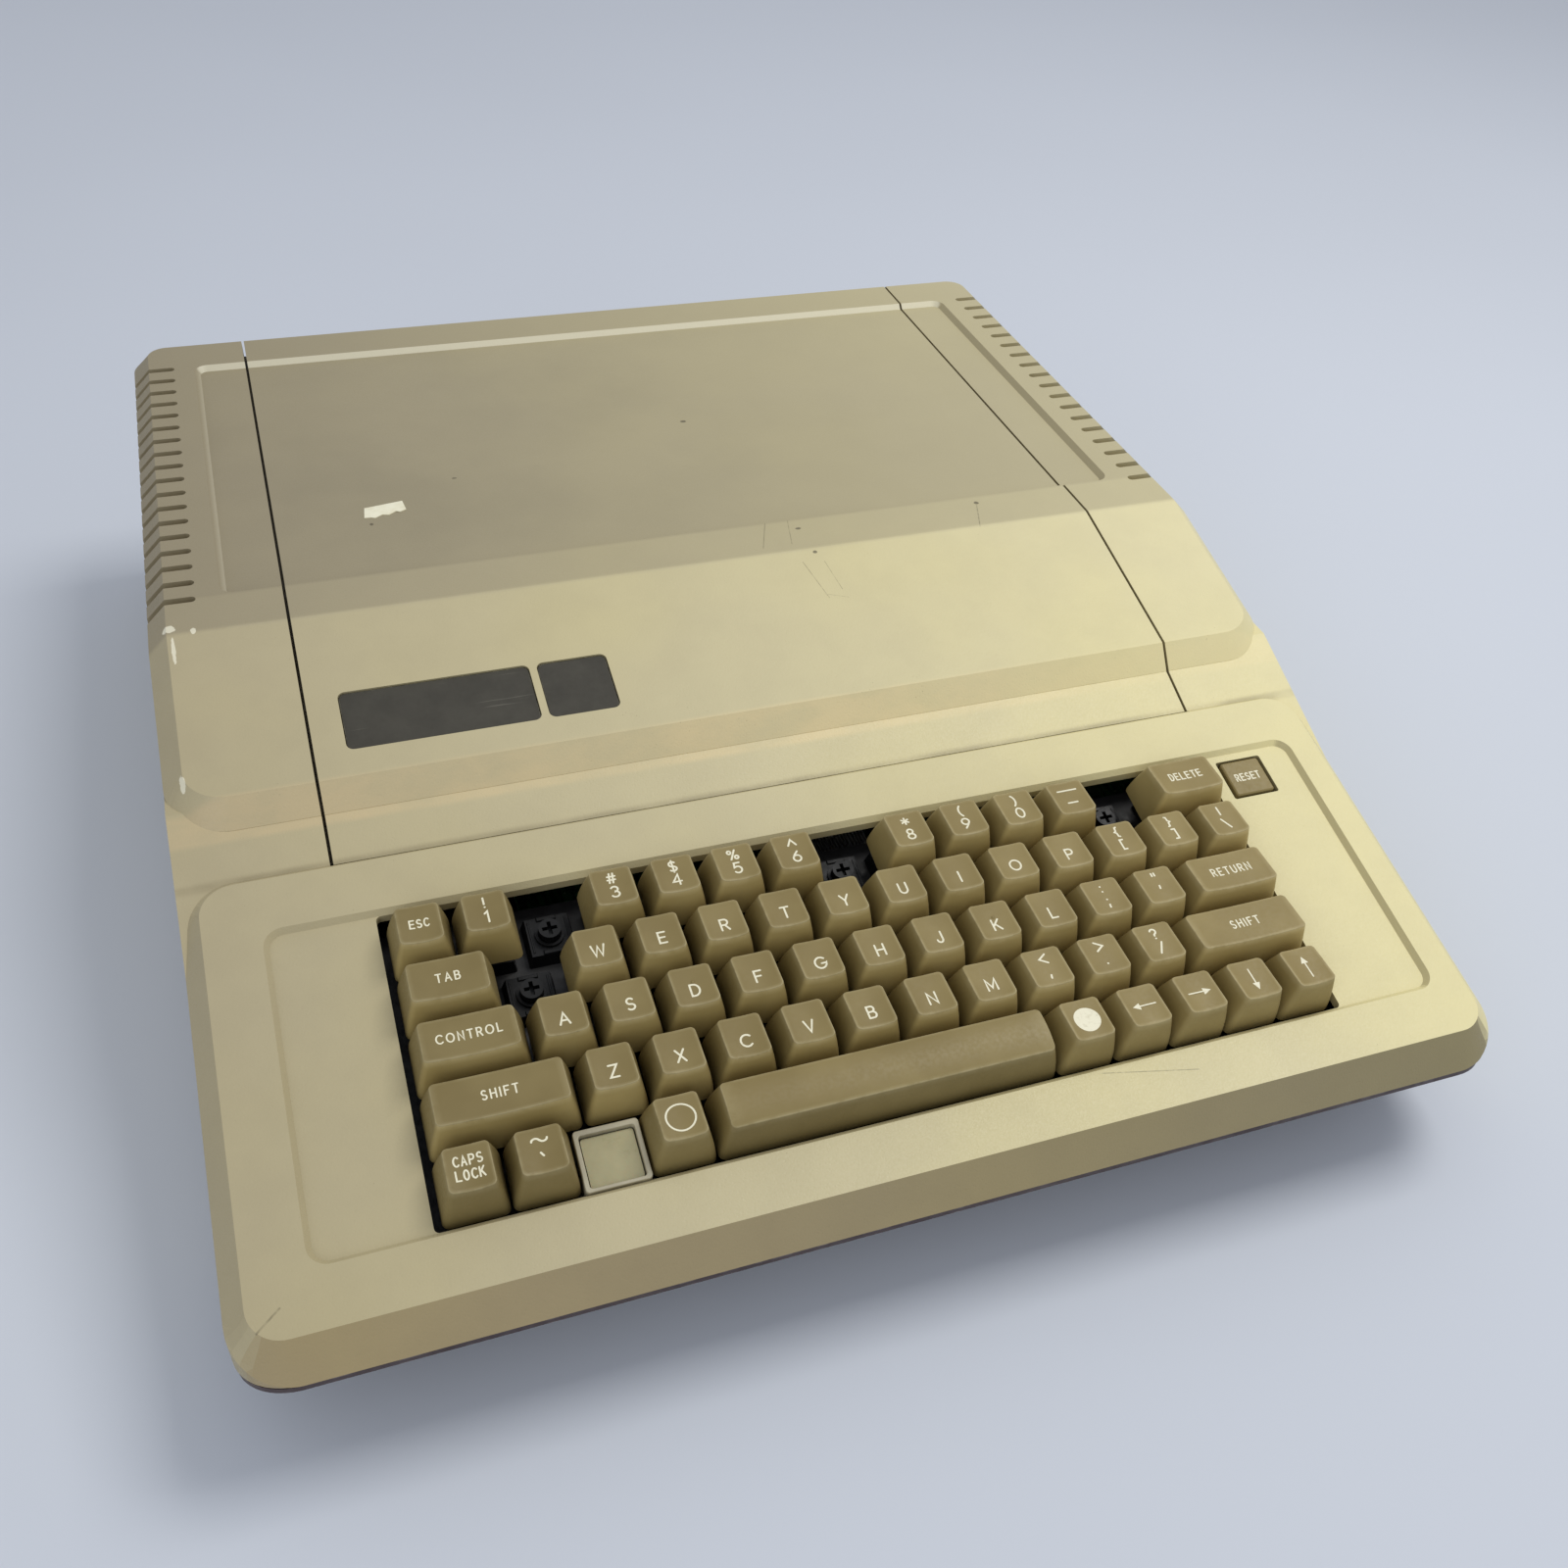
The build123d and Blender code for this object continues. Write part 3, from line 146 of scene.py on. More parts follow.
class KeyFinish(bpy.types.PropertyGroup):
    """Shape and colours of the key caps."""

    cap: colour("Cap", "The taupe of the caps", 138, 121, 75)
    cap_worn: colour("Worn cap", "Caps where fingers have polished them", 148, 131, 84)
    # Also paints the shade between the keys, and dark specks.
    cap_dust_and_shade: colour("Dark cap", "Dust in the lower half of the caps", 108, 93, 58)
    # The rim colour is wear and painted highlight on the edge round a cap's top.
    rim: colour("Rim", "The worn edge round a cap's top", 200, 186, 144)
    legend: colour("Legend", "The second colour moulded into the caps", 243, 237, 208)
    dish_front: length("Dish at the front", "Depth of the dish at the cap's front edge", 1.3)
    dish_back: length("Dish at the back", "Depth of the dish at the cap's rear edge", 0.3)
    edge_radius: length("Edge radius", "Rounding round the cap's top", 0.45)
    stroke: length("Stroke", "Width of a legend's strokes", 0.58)
    letter_height: length("Letter height", "Height of a single letter", 3.9)
    word_height: length("Word height", "Height of the letters in a word", 2.8)
    arrow_length: length("Arrow length", "Length of the arrows", 7.6)
    mark_radius: length("Mark radius", "Radius of the hollow and the solid mark", 4.1)


class InsideFinish(bpy.types.PropertyGroup):
    """Colours of the metalwork, the boards and the sockets."""

    pan: colour("Base pan", "Dark paint of the base", 58, 42, 44)
    metal: colour("Metal", "Plated sheet", 176, 178, 180)
    gold: colour("Contacts", "Gold-plated contacts", 214, 176, 92)
    board: colour("Board", "Solder mask", 30, 88, 52)
    track: colour("Tracks", "Copper tracks under the mask", 52, 122, 74)
    black: colour("Black plastic", "Sockets, switches and housings", 22, 22, 24)
    nylon: colour("Nylon", "Studs, clips and standoffs", 222, 220, 206)
    plate: colour("Nameplate", "Bare nameplates on the lid", 64, 61, 53)
    lamp: colour("Lamp frame", "Frame round the power light", 176, 168, 143)
    lens: colour("Lens", "Frosted lens of the power light", 168, 160, 121)
    rubber: colour("Rubber", "Feet", 26, 25, 25)


class StageSettings(bpy.types.PropertyGroup):
    """Floor, lamps and camera."""

    floor: colour("Floor", "Pale floor", 214, 219, 228)
    sky: colour("Surroundings", "Pale surroundings", 226, 230, 238)
    sky_light: share("Surrounding light", "Light from all round", 0.62)
    key_power: power("Key lamp", "Power of the main lamp", 11)
    fill_power: power("Fill lamp", "Power of the fill lamp", 6)
    tilt: angle("Camera tilt", "Turn about X", 49.1868)
    roll: angle("Camera roll", "Turn about Y", -3.4236)
    turn: angle("Camera turn", "Turn about Z", -19.0969)
    lens: FloatProperty(name="Lens", description="Focal length", unit="CAMERA", default=35.395)


PROPERTY_GROUPS = {
    "case_finish": CaseFinish,
    "key_finish": KeyFinish,
    "inside_finish": InsideFinish,
    "stage_settings": StageSettings,
}


# ------------------------------------------------------------------ materials
MASK_SAMPLES = 4  # rays at each point for the masks of corners and of edges


class Finish:
    """Builds one node material: noises and masks that end in a Principled shader."""

    def __init__(self, name, base, roughness, metallic=0.0):
        self.material = bpy.data.materials.new(name)
        self.material.use_nodes = True
        self.tree = self.material.node_tree
        self.tree.nodes.clear()
        self.output = self.tree.nodes.new("ShaderNodeOutputMaterial")
        self.shader = self.tree.nodes.new("ShaderNodeBsdfPrincipled")
        self.tree.links.new(self.shader.outputs["BSDF"], self.output.inputs["Surface"])
        self.shader.inputs["Base Color"].default_value = (*base, 1)
        self.shader.inputs["Roughness"].default_value = roughness
        self.shader.inputs["Metallic"].default_value = metallic
        self.place = self.node("ShaderNodeTexCoord").outputs["Object"]
        parts = self.node("ShaderNodeSeparateXYZ", {"Vector": self.place})
        self.x, self.y, self.z = parts.outputs

    def node(self, kind, inputs=None, **settings):
        """Add a node; each input is a value, or a socket to link from."""
        made = self.tree.nodes.new(kind)
        for key, value in settings.items():
            setattr(made, key, value)
        for key, value in (inputs or {}).items():
            if isinstance(value, bpy.types.NodeSocket):
                self.tree.links.new(value, made.inputs[key])
            else:
                made.inputs[key].default_value = value
        return made

    def noise(self, scale, detail=3.0, rough=0.55, stretch=(1, 1, 1), shift=(0, 0, 0), bend=0.0):
        """Noise from 0 to 1 with so many features to the metre."""
        place = self.node(
            "ShaderNodeMapping", {"Vector": self.place, "Location": shift, "Scale": stretch}
        )
        texture = self.node(
            "ShaderNodeTexNoise",
            {
                "Vector": place.outputs[0], "Scale": scale, "Detail": detail,
                "Roughness": rough, "Distortion": bend,
            },
        )
        return texture.outputs["Fac"]

    def cells(self, scale, stretch=(1, 1, 1), feature="F1"):
        """Distance to scattered points, or to the borders between them."""
        place = self.node("ShaderNodeMapping", {"Vector": self.place, "Scale": stretch})
        texture = self.node(
            "ShaderNodeTexVoronoi", {"Vector": place.outputs[0], "Scale": scale}, feature=feature
        )
        return texture.outputs["Distance"]

    def ramp(self, value, low, high, start=0.0, end=1.0):
        """value mapped smoothly from low..high to start..end."""
        return self.node(
            "ShaderNodeMapRange",
            {"Value": value, "From Min": low, "From Max": high, "To Min": start, "To Max": end},
            interpolation_type="SMOOTHSTEP",
        ).outputs["Result"]

    def math(self, operation, first, second=0.0):
        """One arithmetic step, not clamped."""
        return self.node("ShaderNodeMath", {0: first, 1: second}, operation=operation).outputs[0]

    def both(self, *masks):
        """The masks multiplied; one may be a plain number."""
        result = masks[0]
        for mask in masks[1:]:
            result = self.math("MULTIPLY", result, mask)
        return result

    def either(self, *masks):
        """The strongest of the masks."""
        result = masks[0]
        for mask in masks[1:]:
            result = self.math("MAXIMUM", result, mask)
        return result

    def mix(self, mask, first, second):
        """first where the mask is 0 and second where it is 1."""
        colours = [
            value if isinstance(value, bpy.types.NodeSocket) else (*value[:3], 1)
            for value in (first, second)
        ]
        return self.node(
            "ShaderNodeMix", {0: mask, 6: colours[0], 7: colours[1]}, data_type="RGBA"
        ).outputs[2]

    def times(self, first, second):
        """Two colours multiplied, channel by channel."""
        return self.node(
            "ShaderNodeMix", {0: 1.0, 6: first, 7: second}, data_type="RGBA", blend_type="MULTIPLY"
        ).outputs[2]

    def scaled(self, colour, factor):
        """A colour made lighter or darker by a factor."""
        return self.node(
            "ShaderNodeVectorMath", {0: colour, "Scale": factor}, operation="SCALE"
        ).outputs[0]

    def spot(self, centre, radii, wobble=0.0, scale=300.0, edge=0.25):
        """A mask that is 1 inside an ellipsoid with a ragged edge."""
        offset = self.node(
            "ShaderNodeVectorMath", {0: self.place, 1: centre}, operation="SUBTRACT"
        ).outputs[0]
        shaped = self.node(
            "ShaderNodeVectorMath", {0: offset, 1: [1 / r for r in radii]}, operation="MULTIPLY"
        ).outputs[0]
        reach = self.node("ShaderNodeVectorMath", {0: shaped}, operation="LENGTH").outputs["Value"]
        if wobble:
            ragged = self.math("SUBTRACT", self.noise(scale, 4, 0.6), 0.5)
            reach = self.math("ADD", reach, self.math("MULTIPLY", ragged, wobble))
        return self.ramp(reach, 1.0 - edge, 1.0, 1.0, 0.0)

    def scratch(self, start, end, width):
        """A mask that is 1 along a thin line, uneven along its length."""
        along = Vector(end) - Vector(start)
        offset = self.node(
            "ShaderNodeVectorMath", {0: self.place, 1: start}, operation="SUBTRACT"
        ).outputs[0]
        reached = self.node(
            "ShaderNodeVectorMath", {0: offset, 1: along / along.length_squared},
            operation="DOT_PRODUCT",
        ).outputs["Value"]
        held = self.node("ShaderNodeClamp", {"Value": reached}).outputs[0]
        foot = self.node(
            "ShaderNodeVectorMath", {0: along, "Scale": held}, operation="SCALE"
        ).outputs[0]
        gap = self.node(
            "ShaderNodeVectorMath", {0: offset, 1: foot}, operation="DISTANCE"
        ).outputs["Value"]
        uneven = self.ramp(self.noise(520, 2, 0.5), 0.3, 0.6, 0.35, 1.0)
        return self.both(self.ramp(gap, width, width * 0.4), uneven)

    def facing(self, axis, low, high):
        """A mask by how far the surface faces along a direction."""
        normal = self.node("ShaderNodeNewGeometry").outputs["True Normal"]
        likeness = self.node(
            "ShaderNodeVectorMath", {0: normal, 1: axis}, operation="DOT_PRODUCT"
        ).outputs["Value"]
        return self.ramp(likeness, low, high)

    def crevice(self, distance):
        """A mask that rises in corners and gaps."""
        occlusion = self.node(
            "ShaderNodeAmbientOcclusion", {"Distance": distance},
            samples=MASK_SAMPLES, only_local=False,
        )
        return self.math("SUBTRACT", 1.0, occlusion.outputs["AO"])

    def edges(self, radius):
        """A mask that rises along outer and inner edges."""
        rounded = self.node("ShaderNodeBevel", {"Radius": radius}, samples=MASK_SAMPLES).outputs[0]
        flat = self.node("ShaderNodeNewGeometry").outputs["Normal"]
        likeness = self.node(
            "ShaderNodeVectorMath", {0: rounded, 1: flat}, operation="DOT_PRODUCT"
        ).outputs["Value"]
        return self.ramp(likeness, 0.90, 0.995, 1.0, 0.0)

    def paint(self, socket):
        """Use a colour socket as the base colour."""
        self.tree.links.new(socket, self.shader.inputs["Base Color"])

    def rough(self, socket):
        """Use a value socket as the roughness."""
        self.tree.links.new(socket, self.shader.inputs["Roughness"])

    def relief(self, height, distance, strength=1.0):
        """Raise the surface by a height socket; calls add up."""
        bump = self.node(
            "ShaderNodeBump", {"Height": height, "Distance": distance, "Strength": strength}
        )
        link = self.shader.inputs["Normal"].links
        if link:
            self.tree.links.new(link[0].from_socket, bump.inputs["Normal"])
        self.tree.links.new(bump.outputs[0], self.shader.inputs["Normal"])

    def set(self, **values):
        """Set constant inputs of the shader, with _ for a space in the name."""
        for key, value in values.items():
            self.shader.inputs[key.replace("_", " ")].default_value = value
        return self


FINISHES = {}


def finish_once(name, maker):
    """The named material, made on first use."""
    if name not in FINISHES:
        FINISHES[name] = maker().material
    return FINISHES[name]


# Marks on the case, in metres: places with their radii, and thin lines with their widths.
DARK_SPECKS = (
    ((0.0171, 0.1127, 0.108), (0.0013, 0.0010, 0.003)),
    ((-0.1140, 0.0620, 0.108), (0.0008, 0.0010, 0.003)),
    ((-0.0800, 0.0880, 0.108), (0.0010, 0.0006, 0.003)),
    ((0.1079, 0.0216, 0.110), (0.0011, 0.0010, 0.002)),
    ((0.0350, 0.0200, 0.110), (0.0012, 0.0008, 0.002)),
    ((0.0360, 0.0040, 0.110), (0.0010, 0.0008, 0.002)),
)
PALE_CHIPS = (
    ((-0.1912, -0.2185, 0.0500), (0.0026, 0.0020, 0.0022)),
    ((-0.1880, -0.2215, 0.0475), (0.0016, 0.0016, 0.0016)),
    ((-0.1848, 0.0090, 0.1092), (0.0022, 0.0022, 0.0024)),
    ((-0.1774, 0.0066, 0.1100), (0.0009, 0.0016, 0.0016)),
    ((-0.1860, -0.0530, 0.0955), (0.0010, 0.0036, 0.0022)),
    ((-0.1840, 0.0000, 0.1080), (0.0007, 0.0070, 0.0020)),
    ((-0.1690, -0.0660, 0.0935), (0.0018, 0.0012, 0.0012)),
)
SCRATCHES = (
    ((-0.1846, -0.2160, 0.0517), (-0.1779, -0.2108, 0.0530), 0.00040),
    ((-0.1860, -0.2176, 0.0514), (-0.1846, -0.2160, 0.0517), 0.00070),
    ((0.1079, 0.0216, 0.1100), (0.1024, 0.0056, 0.1099), 0.00030),
    ((0.0181, 0.0097, 0.1100), (0.0240, 0.0260, 0.1100), 0.00022),
    ((0.0293, 0.0104, 0.1100), (0.0330, 0.0270, 0.1100), 0.00018),
    ((0.0300, 0.0000, 0.1086), (0.0340, -0.0180, 0.1044), 0.00020),
    ((0.0380, -0.0010, 0.1084), (0.0400, -0.0150, 0.1051), 0.00016),
    ((0.0330, -0.0160, 0.1048), (0.0410, -0.0190, 0.1041), 0.00016),
    ((0.0560, -0.2040, 0.0546), (0.0860, -0.2100, 0.0532), 0.00022),
)


def dusty_shaded_top(made, look, body, on_top):
    """Grey the flat top up to the line where the slope begins, partly with dust and partly as painted
    shade, and smudge its tray.
    """
    smudge = made.ramp(made.noise(13, 4, 0.55, shift=(7, 2, 0)), 0.30, 0.75)
    band = made.ramp(made.y, 0.0265, 0.0245, 1.0, 0.75)
    # Dust and painted shade grey the flat top.
    body = made.mix(made.both(on_top, band, look.top_dust_and_shade), body, look.greyed)
    tray = made.both(
        made.ramp(made.z, 0.1086, 0.1079), made.ramp(made.y, 0.024, 0.030),
        made.ramp(made.y, 0.203, 0.197),
    )
    leftward = made.ramp(made.x, 0.14, -0.12, 0.25, 1.0)
    return made.mix(made.both(on_top, tray, smudge, leftward, 0.34), body, look.dusty)


def stained_lit_step(made, look, body):
    """Tan stain and painted light along the step between the slope and the deck, less of both at the
    right.
    """
    step = made.both(made.ramp(made.y, -0.0712, -0.0690), made.ramp(made.y, -0.0590, -0.0615))
    patchy = made.ramp(made.noise(70, 4, 0.65, stretch=(0.5, 1, 1)), 0.30, 0.66, 0.35, 1.0)
    fading = made.ramp(made.x, 0.16, 0.0, 0.25, 0.8)
    return made.mix(made.both(step, patchy, fading), body, look.stain_and_light)


def painted_light_across_case(made, look, body):
    """Painted light and shade: darker to the left and lighter to the right, painted shade on the nose
    and on the outer walls that face left.
    """
    rightward = made.node(
        "ShaderNodeMapRange", {"Value": made.x, "From Min": -0.19, "From Max": 0.19}
    ).outputs["Result"]
    # Painted shade on the front-facing nose, with some grime, darker towards the right.
    nose = made.both(made.ramp(made.y, -0.185, -0.200), made.facing((0, -1, 0), 0.55, 0.75))
    # Painted light: the plastic darkens to the left and lightens to the right.
    across = made.mix(rightward, look.left_painted_shade, look.right_painted_light)
    along_nose = made.mix(rightward, (0.64, 0.55, 0.46), (0.46, 0.43, 0.37))
    body = made.times(body, made.mix(nose, across, along_nose))
    # Painted shade on the outer walls that face left.
    walls = made.both(made.facing((-1, 0, 0), 0.6, 0.8), made.ramp(made.x, -0.170, -0.180), 0.25)
    return made.mix(walls, body, look.grime_and_shade)


def shaded_and_lit_walls(made, look, body, on_top):
    """Painted shade on walls facing left, the tray's right wall among them; painted highlight, partly
    clean rubbed plastic, on the tray's rear and left walls.
    """
    middle = made.both(made.ramp(made.x, -0.168, -0.166), made.ramp(made.x, 0.168, 0.166))
    # Painted shade: walls that face left are darkened with grime.
    shaded = made.both(made.ramp(made.x, -0.170, -0.160), made.facing((-1, 0, 0), 0.15, 0.45))
    body = made.mix(made.math("MULTIPLY", shaded, 0.42), body, look.grime_and_shade)
    # Painted highlight, partly clean rubbed plastic: the tray's rear and left walls are lightened.
    rubbed_and_lit = made.both(on_top, middle, made.either(
        made.facing((0, -1, 0), 0.15, 0.45), made.both(made.facing((1, 0, 0), 0.15, 0.45), 0.35),
    ))
    return made.mix(made.math("MULTIPLY", rubbed_and_lit, 0.60), body, look.residue_and_highlight)


def dirt_and_shade_in_corners(made, look, body):
    """Dirt and painted shade in the corners, less of both in the vents, painted shade over a wider
    reach beside raised parts, and a line of dirt and painted shade where the deck begins.
    """
    calm = made.both(made.ramp(made.y, 0.006, 0.012), made.either(
        made.ramp(made.x, 0.170, 0.174), made.ramp(made.x, -0.170, -0.174),
    ))
    calm = made.ramp(calm, 0, 1, 1.0, 0.5)
    # Dirt and painted shade in tight corners.
    corners = made.ramp(made.crevice(0.004), 0.22, 0.75)
    broken = made.ramp(made.noise(120, 4, 0.6), 0.25, 0.75, 0.45, 1.0)
    body = made.mix(made.both(corners, broken, calm, 0.62), body, look.grime_and_shade)
    # Painted shade beside raised parts, such as the keys.
    wide = made.ramp(made.crevice(0.018), 0.30, 0.95)
    body = made.mix(made.both(wide, calm, 0.22), body, look.grime_and_shade)
    # Dirt and painted shade in the crease where the deck begins.
    line = made.both(
        made.ramp(made.y, -0.0856, -0.0838), made.ramp(made.y, -0.0808, -0.0826),
        made.ramp(made.noise(95, 3, 0.6, stretch=(0.4, 1, 1)), 0.30, 0.70, 0.10, 0.38),
    )
    return made.mix(line, body, look.grime_and_shade)


def marked(made, look, body):
    """Scattered specks, and the specks, scratches and chips at known places."""
    specks = made.both(
        made.ramp(made.cells(260), 0.040, 0.026),
        made.ramp(made.noise(30, 2, 0.5, shift=(1, 5, 2)), 0.54, 0.64), 0.5,
    )
    step_specks = made.both(
        made.ramp(made.cells(520), 0.09, 0.06), made.ramp(made.noise(40, 2, 0.5), 0.5, 0.6),
        made.ramp(made.y, -0.070, -0.064), made.ramp(made.y, -0.046, -0.056), 0.55,
    )
    body = made.mix(made.either(specks, step_specks), body, look.grime_and_shade)
    dark = made.either(*[made.spot(*speck, wobble=0.7, scale=700) for speck in DARK_SPECKS])
    lines = made.either(*[made.scratch(*line) for line in SCRATCHES])
    marks = made.either(made.math("MULTIPLY", dark, 0.75), made.math("MULTIPLY", lines, 0.5))
    body = made.mix(marks, body, look.scratch)
    chips = [made.spot(*chip, wobble=1.1, scale=480, edge=0.1) for chip in PALE_CHIPS]
    return made.mix(made.math("MULTIPLY", made.either(*chips), 0.8), body, look.residue_and_highlight)


def case_plastic():
    """Aged beige moulding: grain, yellowing, a top greyed by dust and painted shade, painted light
    across the case, on the step and on walls, dirt and painted shade in the corners, and small chips.
    """
    look = bpy.context.scene.case_finish
    made = Finish("aged_beige_plastic", look.plastic, 0.5)
    cloud = made.ramp(made.noise(7, 3, 0.5), 0.38, 0.66)
    mottle = made.ramp(made.noise(52, 4, 0.6, shift=(3, 1, 0)), 0.3, 0.72)
    body = made.mix(made.math("MULTIPLY", cloud, 0.45), look.plastic, look.yellowed)
    body = made.mix(made.math("MULTIPLY", mottle, 0.10), body, look.greyed)
    on_top = made.both(made.ramp(made.y, 0.0045, 0.0075), made.ramp(made.z, 0.098, 0.104))
    body = dusty_shaded_top(made, look, body, on_top)
    body = stained_lit_step(made, look, body)
    body = painted_light_across_case(made, look, body)
    body = shaded_and_lit_walls(made, look, body, on_top)
    body = dirt_and_shade_in_corners(made, look, body)
    made.paint(marked(made, look, body))
    grain = made.noise(1350, 3, 0.55)
    made.rough(made.ramp(made.noise(2400, 2, 0.5), 0.3, 0.7, 0.40, 0.60))
    made.relief(grain, look.grain_height, 0.5)
    made.relief(made.ramp(made.cells(1000), 0.0, 0.5), look.grain_height * 0.8, 0.6)
    return made.set(Specular_IOR_Level=0.45)


def key_plastic():
    """Taupe caps: fine grain, polished tops, dust and painted shade low down, pale edges of wear and
    painted highlight, and painted light by place and row.
    """
    look = bpy.context.scene.key_finish
    made = Finish("taupe_key_plastic", look.cap, 0.5)
    body = made.mix(made.ramp(made.noise(38, 3, 0.6), 0.35, 0.7), look.cap, look.cap_worn)
    # Dust and painted shade low on the caps, between the keys.
    dust = made.ramp(made.crevice(0.010), 0.25, 0.95)
    body = made.mix(made.math("MULTIPLY", dust, 0.15), body, look.cap_dust_and_shade)
    # Wear and painted highlight on the rounded edge of the cap's top.
    worn_and_lit = made.node("ShaderNodeAttribute", attribute_name="rim", attribute_type="GEOMETRY")
    uneven = made.ramp(made.noise(260, 3, 0.6), 0.3, 0.6, 0.45, 1.0)
    body = made.mix(made.both(worn_and_lit.outputs["Fac"], uneven, 0.5), body, look.rim)
    specks = made.both(
        made.ramp(made.cells(700), 0.09, 0.05), made.ramp(made.noise(90, 2, 0.5), 0.6, 0.7)
    )
    body = made.mix(made.math("MULTIPLY", specks, 0.5), body, look.cap_dust_and_shade)
    # Painted light: each point's colour is scaled by its tone.
    tone = made.node("ShaderNodeAttribute", attribute_name="tone", attribute_type="GEOMETRY")
    body = made.scaled(body, made.math("ADD", tone.outputs["Fac"], 1.0))
    made.paint(body)
    made.rough(made.ramp(made.noise(900, 2, 0.5), 0.3, 0.7, 0.42, 0.56))
    made.relief(made.noise(3200, 2, 0.5), 0.02 * MM, 0.5)
    return made.set(Specular_IOR_Level=0.35)


def legend_plastic():
    """Off-white second shot, slightly dirty."""
    look = bpy.context.scene.key_finish
    made = Finish("off_white_legend", look.legend, 0.45)
    dirt = made.ramp(made.noise(700, 3, 0.6), 0.5, 0.8, 0.0, 0.35)
    made.paint(made.mix(dirt, look.legend, look.cap_worn))
    return made


def plain_plastic(name, base, roughness, dust, grain=0.03):
    """A moulded plastic with fine grain, slight tone changes and dust in its corners."""
    made = Finish(name, base, roughness)
    lighter = [min(1, c * 1.18 + 0.004) for c in base]
    body = made.mix(made.ramp(made.noise(70, 4, 0.6), 0.3, 0.7), base, lighter)
    dusty = made.both(
        made.ramp(made.crevice(0.006), 0.2, 0.9), made.ramp(made.noise(160, 4, 0.6), 0.3, 0.7)
    )
    body = made.mix(made.math("MULTIPLY", dusty, 0.5), body, dust)
    made.paint(body)
    made.rough(made.ramp(made.noise(420, 3, 0.5), 0.3, 0.7, roughness - 0.07, roughness + 0.08))
    made.relief(made.noise(2200, 2, 0.5), grain * MM, 0.6)
    return made


def black_plastic():
    """Satin black for sockets, switch frames and slots."""
    look = bpy.context.scene.inside_finish
    return plain_plastic("satin_black_plastic", look.black, 0.42, srgb(96, 90, 76))


def switch_plastic():
    """Dusty black of the key switch housings."""
    look = bpy.context.scene.inside_finish
    made = plain_plastic("switch_black_plastic", srgb(11, 11, 12), 0.42, srgb(20, 19, 19))
    made.set(Specular_IOR_Level=0.3)
    lint = made.both(
        made.ramp(made.noise(900, 4, 0.7, stretch=(0.3, 1, 1)), 0.62, 0.7),
        made.ramp(made.noise(130, 2, 0.5), 0.45, 0.6),
    )
    socket = made.shader.inputs["Base Color"].links[0].from_socket
    made.paint(made.mix(made.math("MULTIPLY", lint, 0.15), socket, srgb(96, 96, 96)))
    return made


def chip_plastic():
    """Matt black epoxy of the chip packages."""
    return plain_plastic("chip_epoxy", srgb(36, 36, 38), 0.6, srgb(90, 88, 82), grain=0.05)


def nylon_plastic():
    """Natural nylon."""
    look = bpy.context.scene.inside_finish
    return plain_plastic("natural_nylon", look.nylon, 0.4, srgb(150, 142, 120)).set(
        Subsurface_Weight=0.08, Subsurface_Scale=0.002
    )


def lamp_plastic():
    """Pale beige frame round the power light."""
    look = bpy.context.scene.inside_finish
    return plain_plastic("lamp_frame_plastic", look.lamp, 0.5, srgb(130, 118, 88))


def lens_plastic():
    """Frosted lens: slightly translucent, with a soft gloss."""
    look = bpy.context.scene.inside_finish
    made = plain_plastic("frosted_lens", look.lens, 0.34, srgb(140, 130, 100), grain=0.01)
    return made.set(Subsurface_Weight=0.1, Subsurface_Scale=0.003)


def nameplate_plastic():
    """Bare dark grey plate with fine scratches and a worn rim."""
    look = bpy.context.scene.inside_finish
    made = Finish("bare_nameplate", look.plate, 0.55)
    body = made.mix(made.ramp(made.noise(80, 4, 0.6), 0.3, 0.75), look.plate, srgb(73, 70, 61))
    scratch = made.both(
        made.ramp(made.noise(240, 3, 0.6, stretch=(0.05, 1.5, 1), bend=0.3), 0.64, 0.68),
        made.ramp(made.noise(40, 2, 0.5), 0.48, 0.6),
    )
    body = made.mix(made.math("MULTIPLY", scratch, 0.2), body, srgb(150, 146, 132))
    rim = made.both(made.edges(0.0006), made.ramp(made.noise(300, 3, 0.6), 0.4, 0.6))
    body = made.mix(made.math("MULTIPLY", rim, 0.55), body, srgb(168, 162, 140))
    made.paint(body)
    made.rough(made.ramp(made.noise(500, 3, 0.6), 0.3, 0.7, 0.48, 0.66))
    made.relief(made.noise(1800, 2, 0.5), 0.03 * MM, 0.5)
    return made.set(Specular_IOR_Level=0.3)


def pan_paint():
    """Dark baked paint of the base pan."""
    look = bpy.context.scene.inside_finish
    made = Finish("dark_pan_paint", look.pan, 0.5)
    body = made.mix(made.ramp(made.noise(20, 4, 0.6), 0.3, 0.75), look.pan, srgb(70, 54, 54))
    rubbed_and_lit = made.both(made.edges(0.001), made.ramp(made.noise(110, 4, 0.6), 0.5, 0.66))
    body = made.mix(made.math("MULTIPLY", rubbed_and_lit, 0.6), body, srgb(150, 140, 132))
    dusty = made.ramp(made.noise(36, 5, 0.65, shift=(2, 6, 1)), 0.5, 0.8, 0.0, 0.4)
    made.paint(made.mix(dusty, body, srgb(110, 98, 88)))
    made.rough(made.ramp(made.noise(300, 3, 0.5), 0.3, 0.7, 0.4, 0.58))
    made.relief(made.noise(700, 3, 0.5), 0.06 * MM, 0.5)
    return made


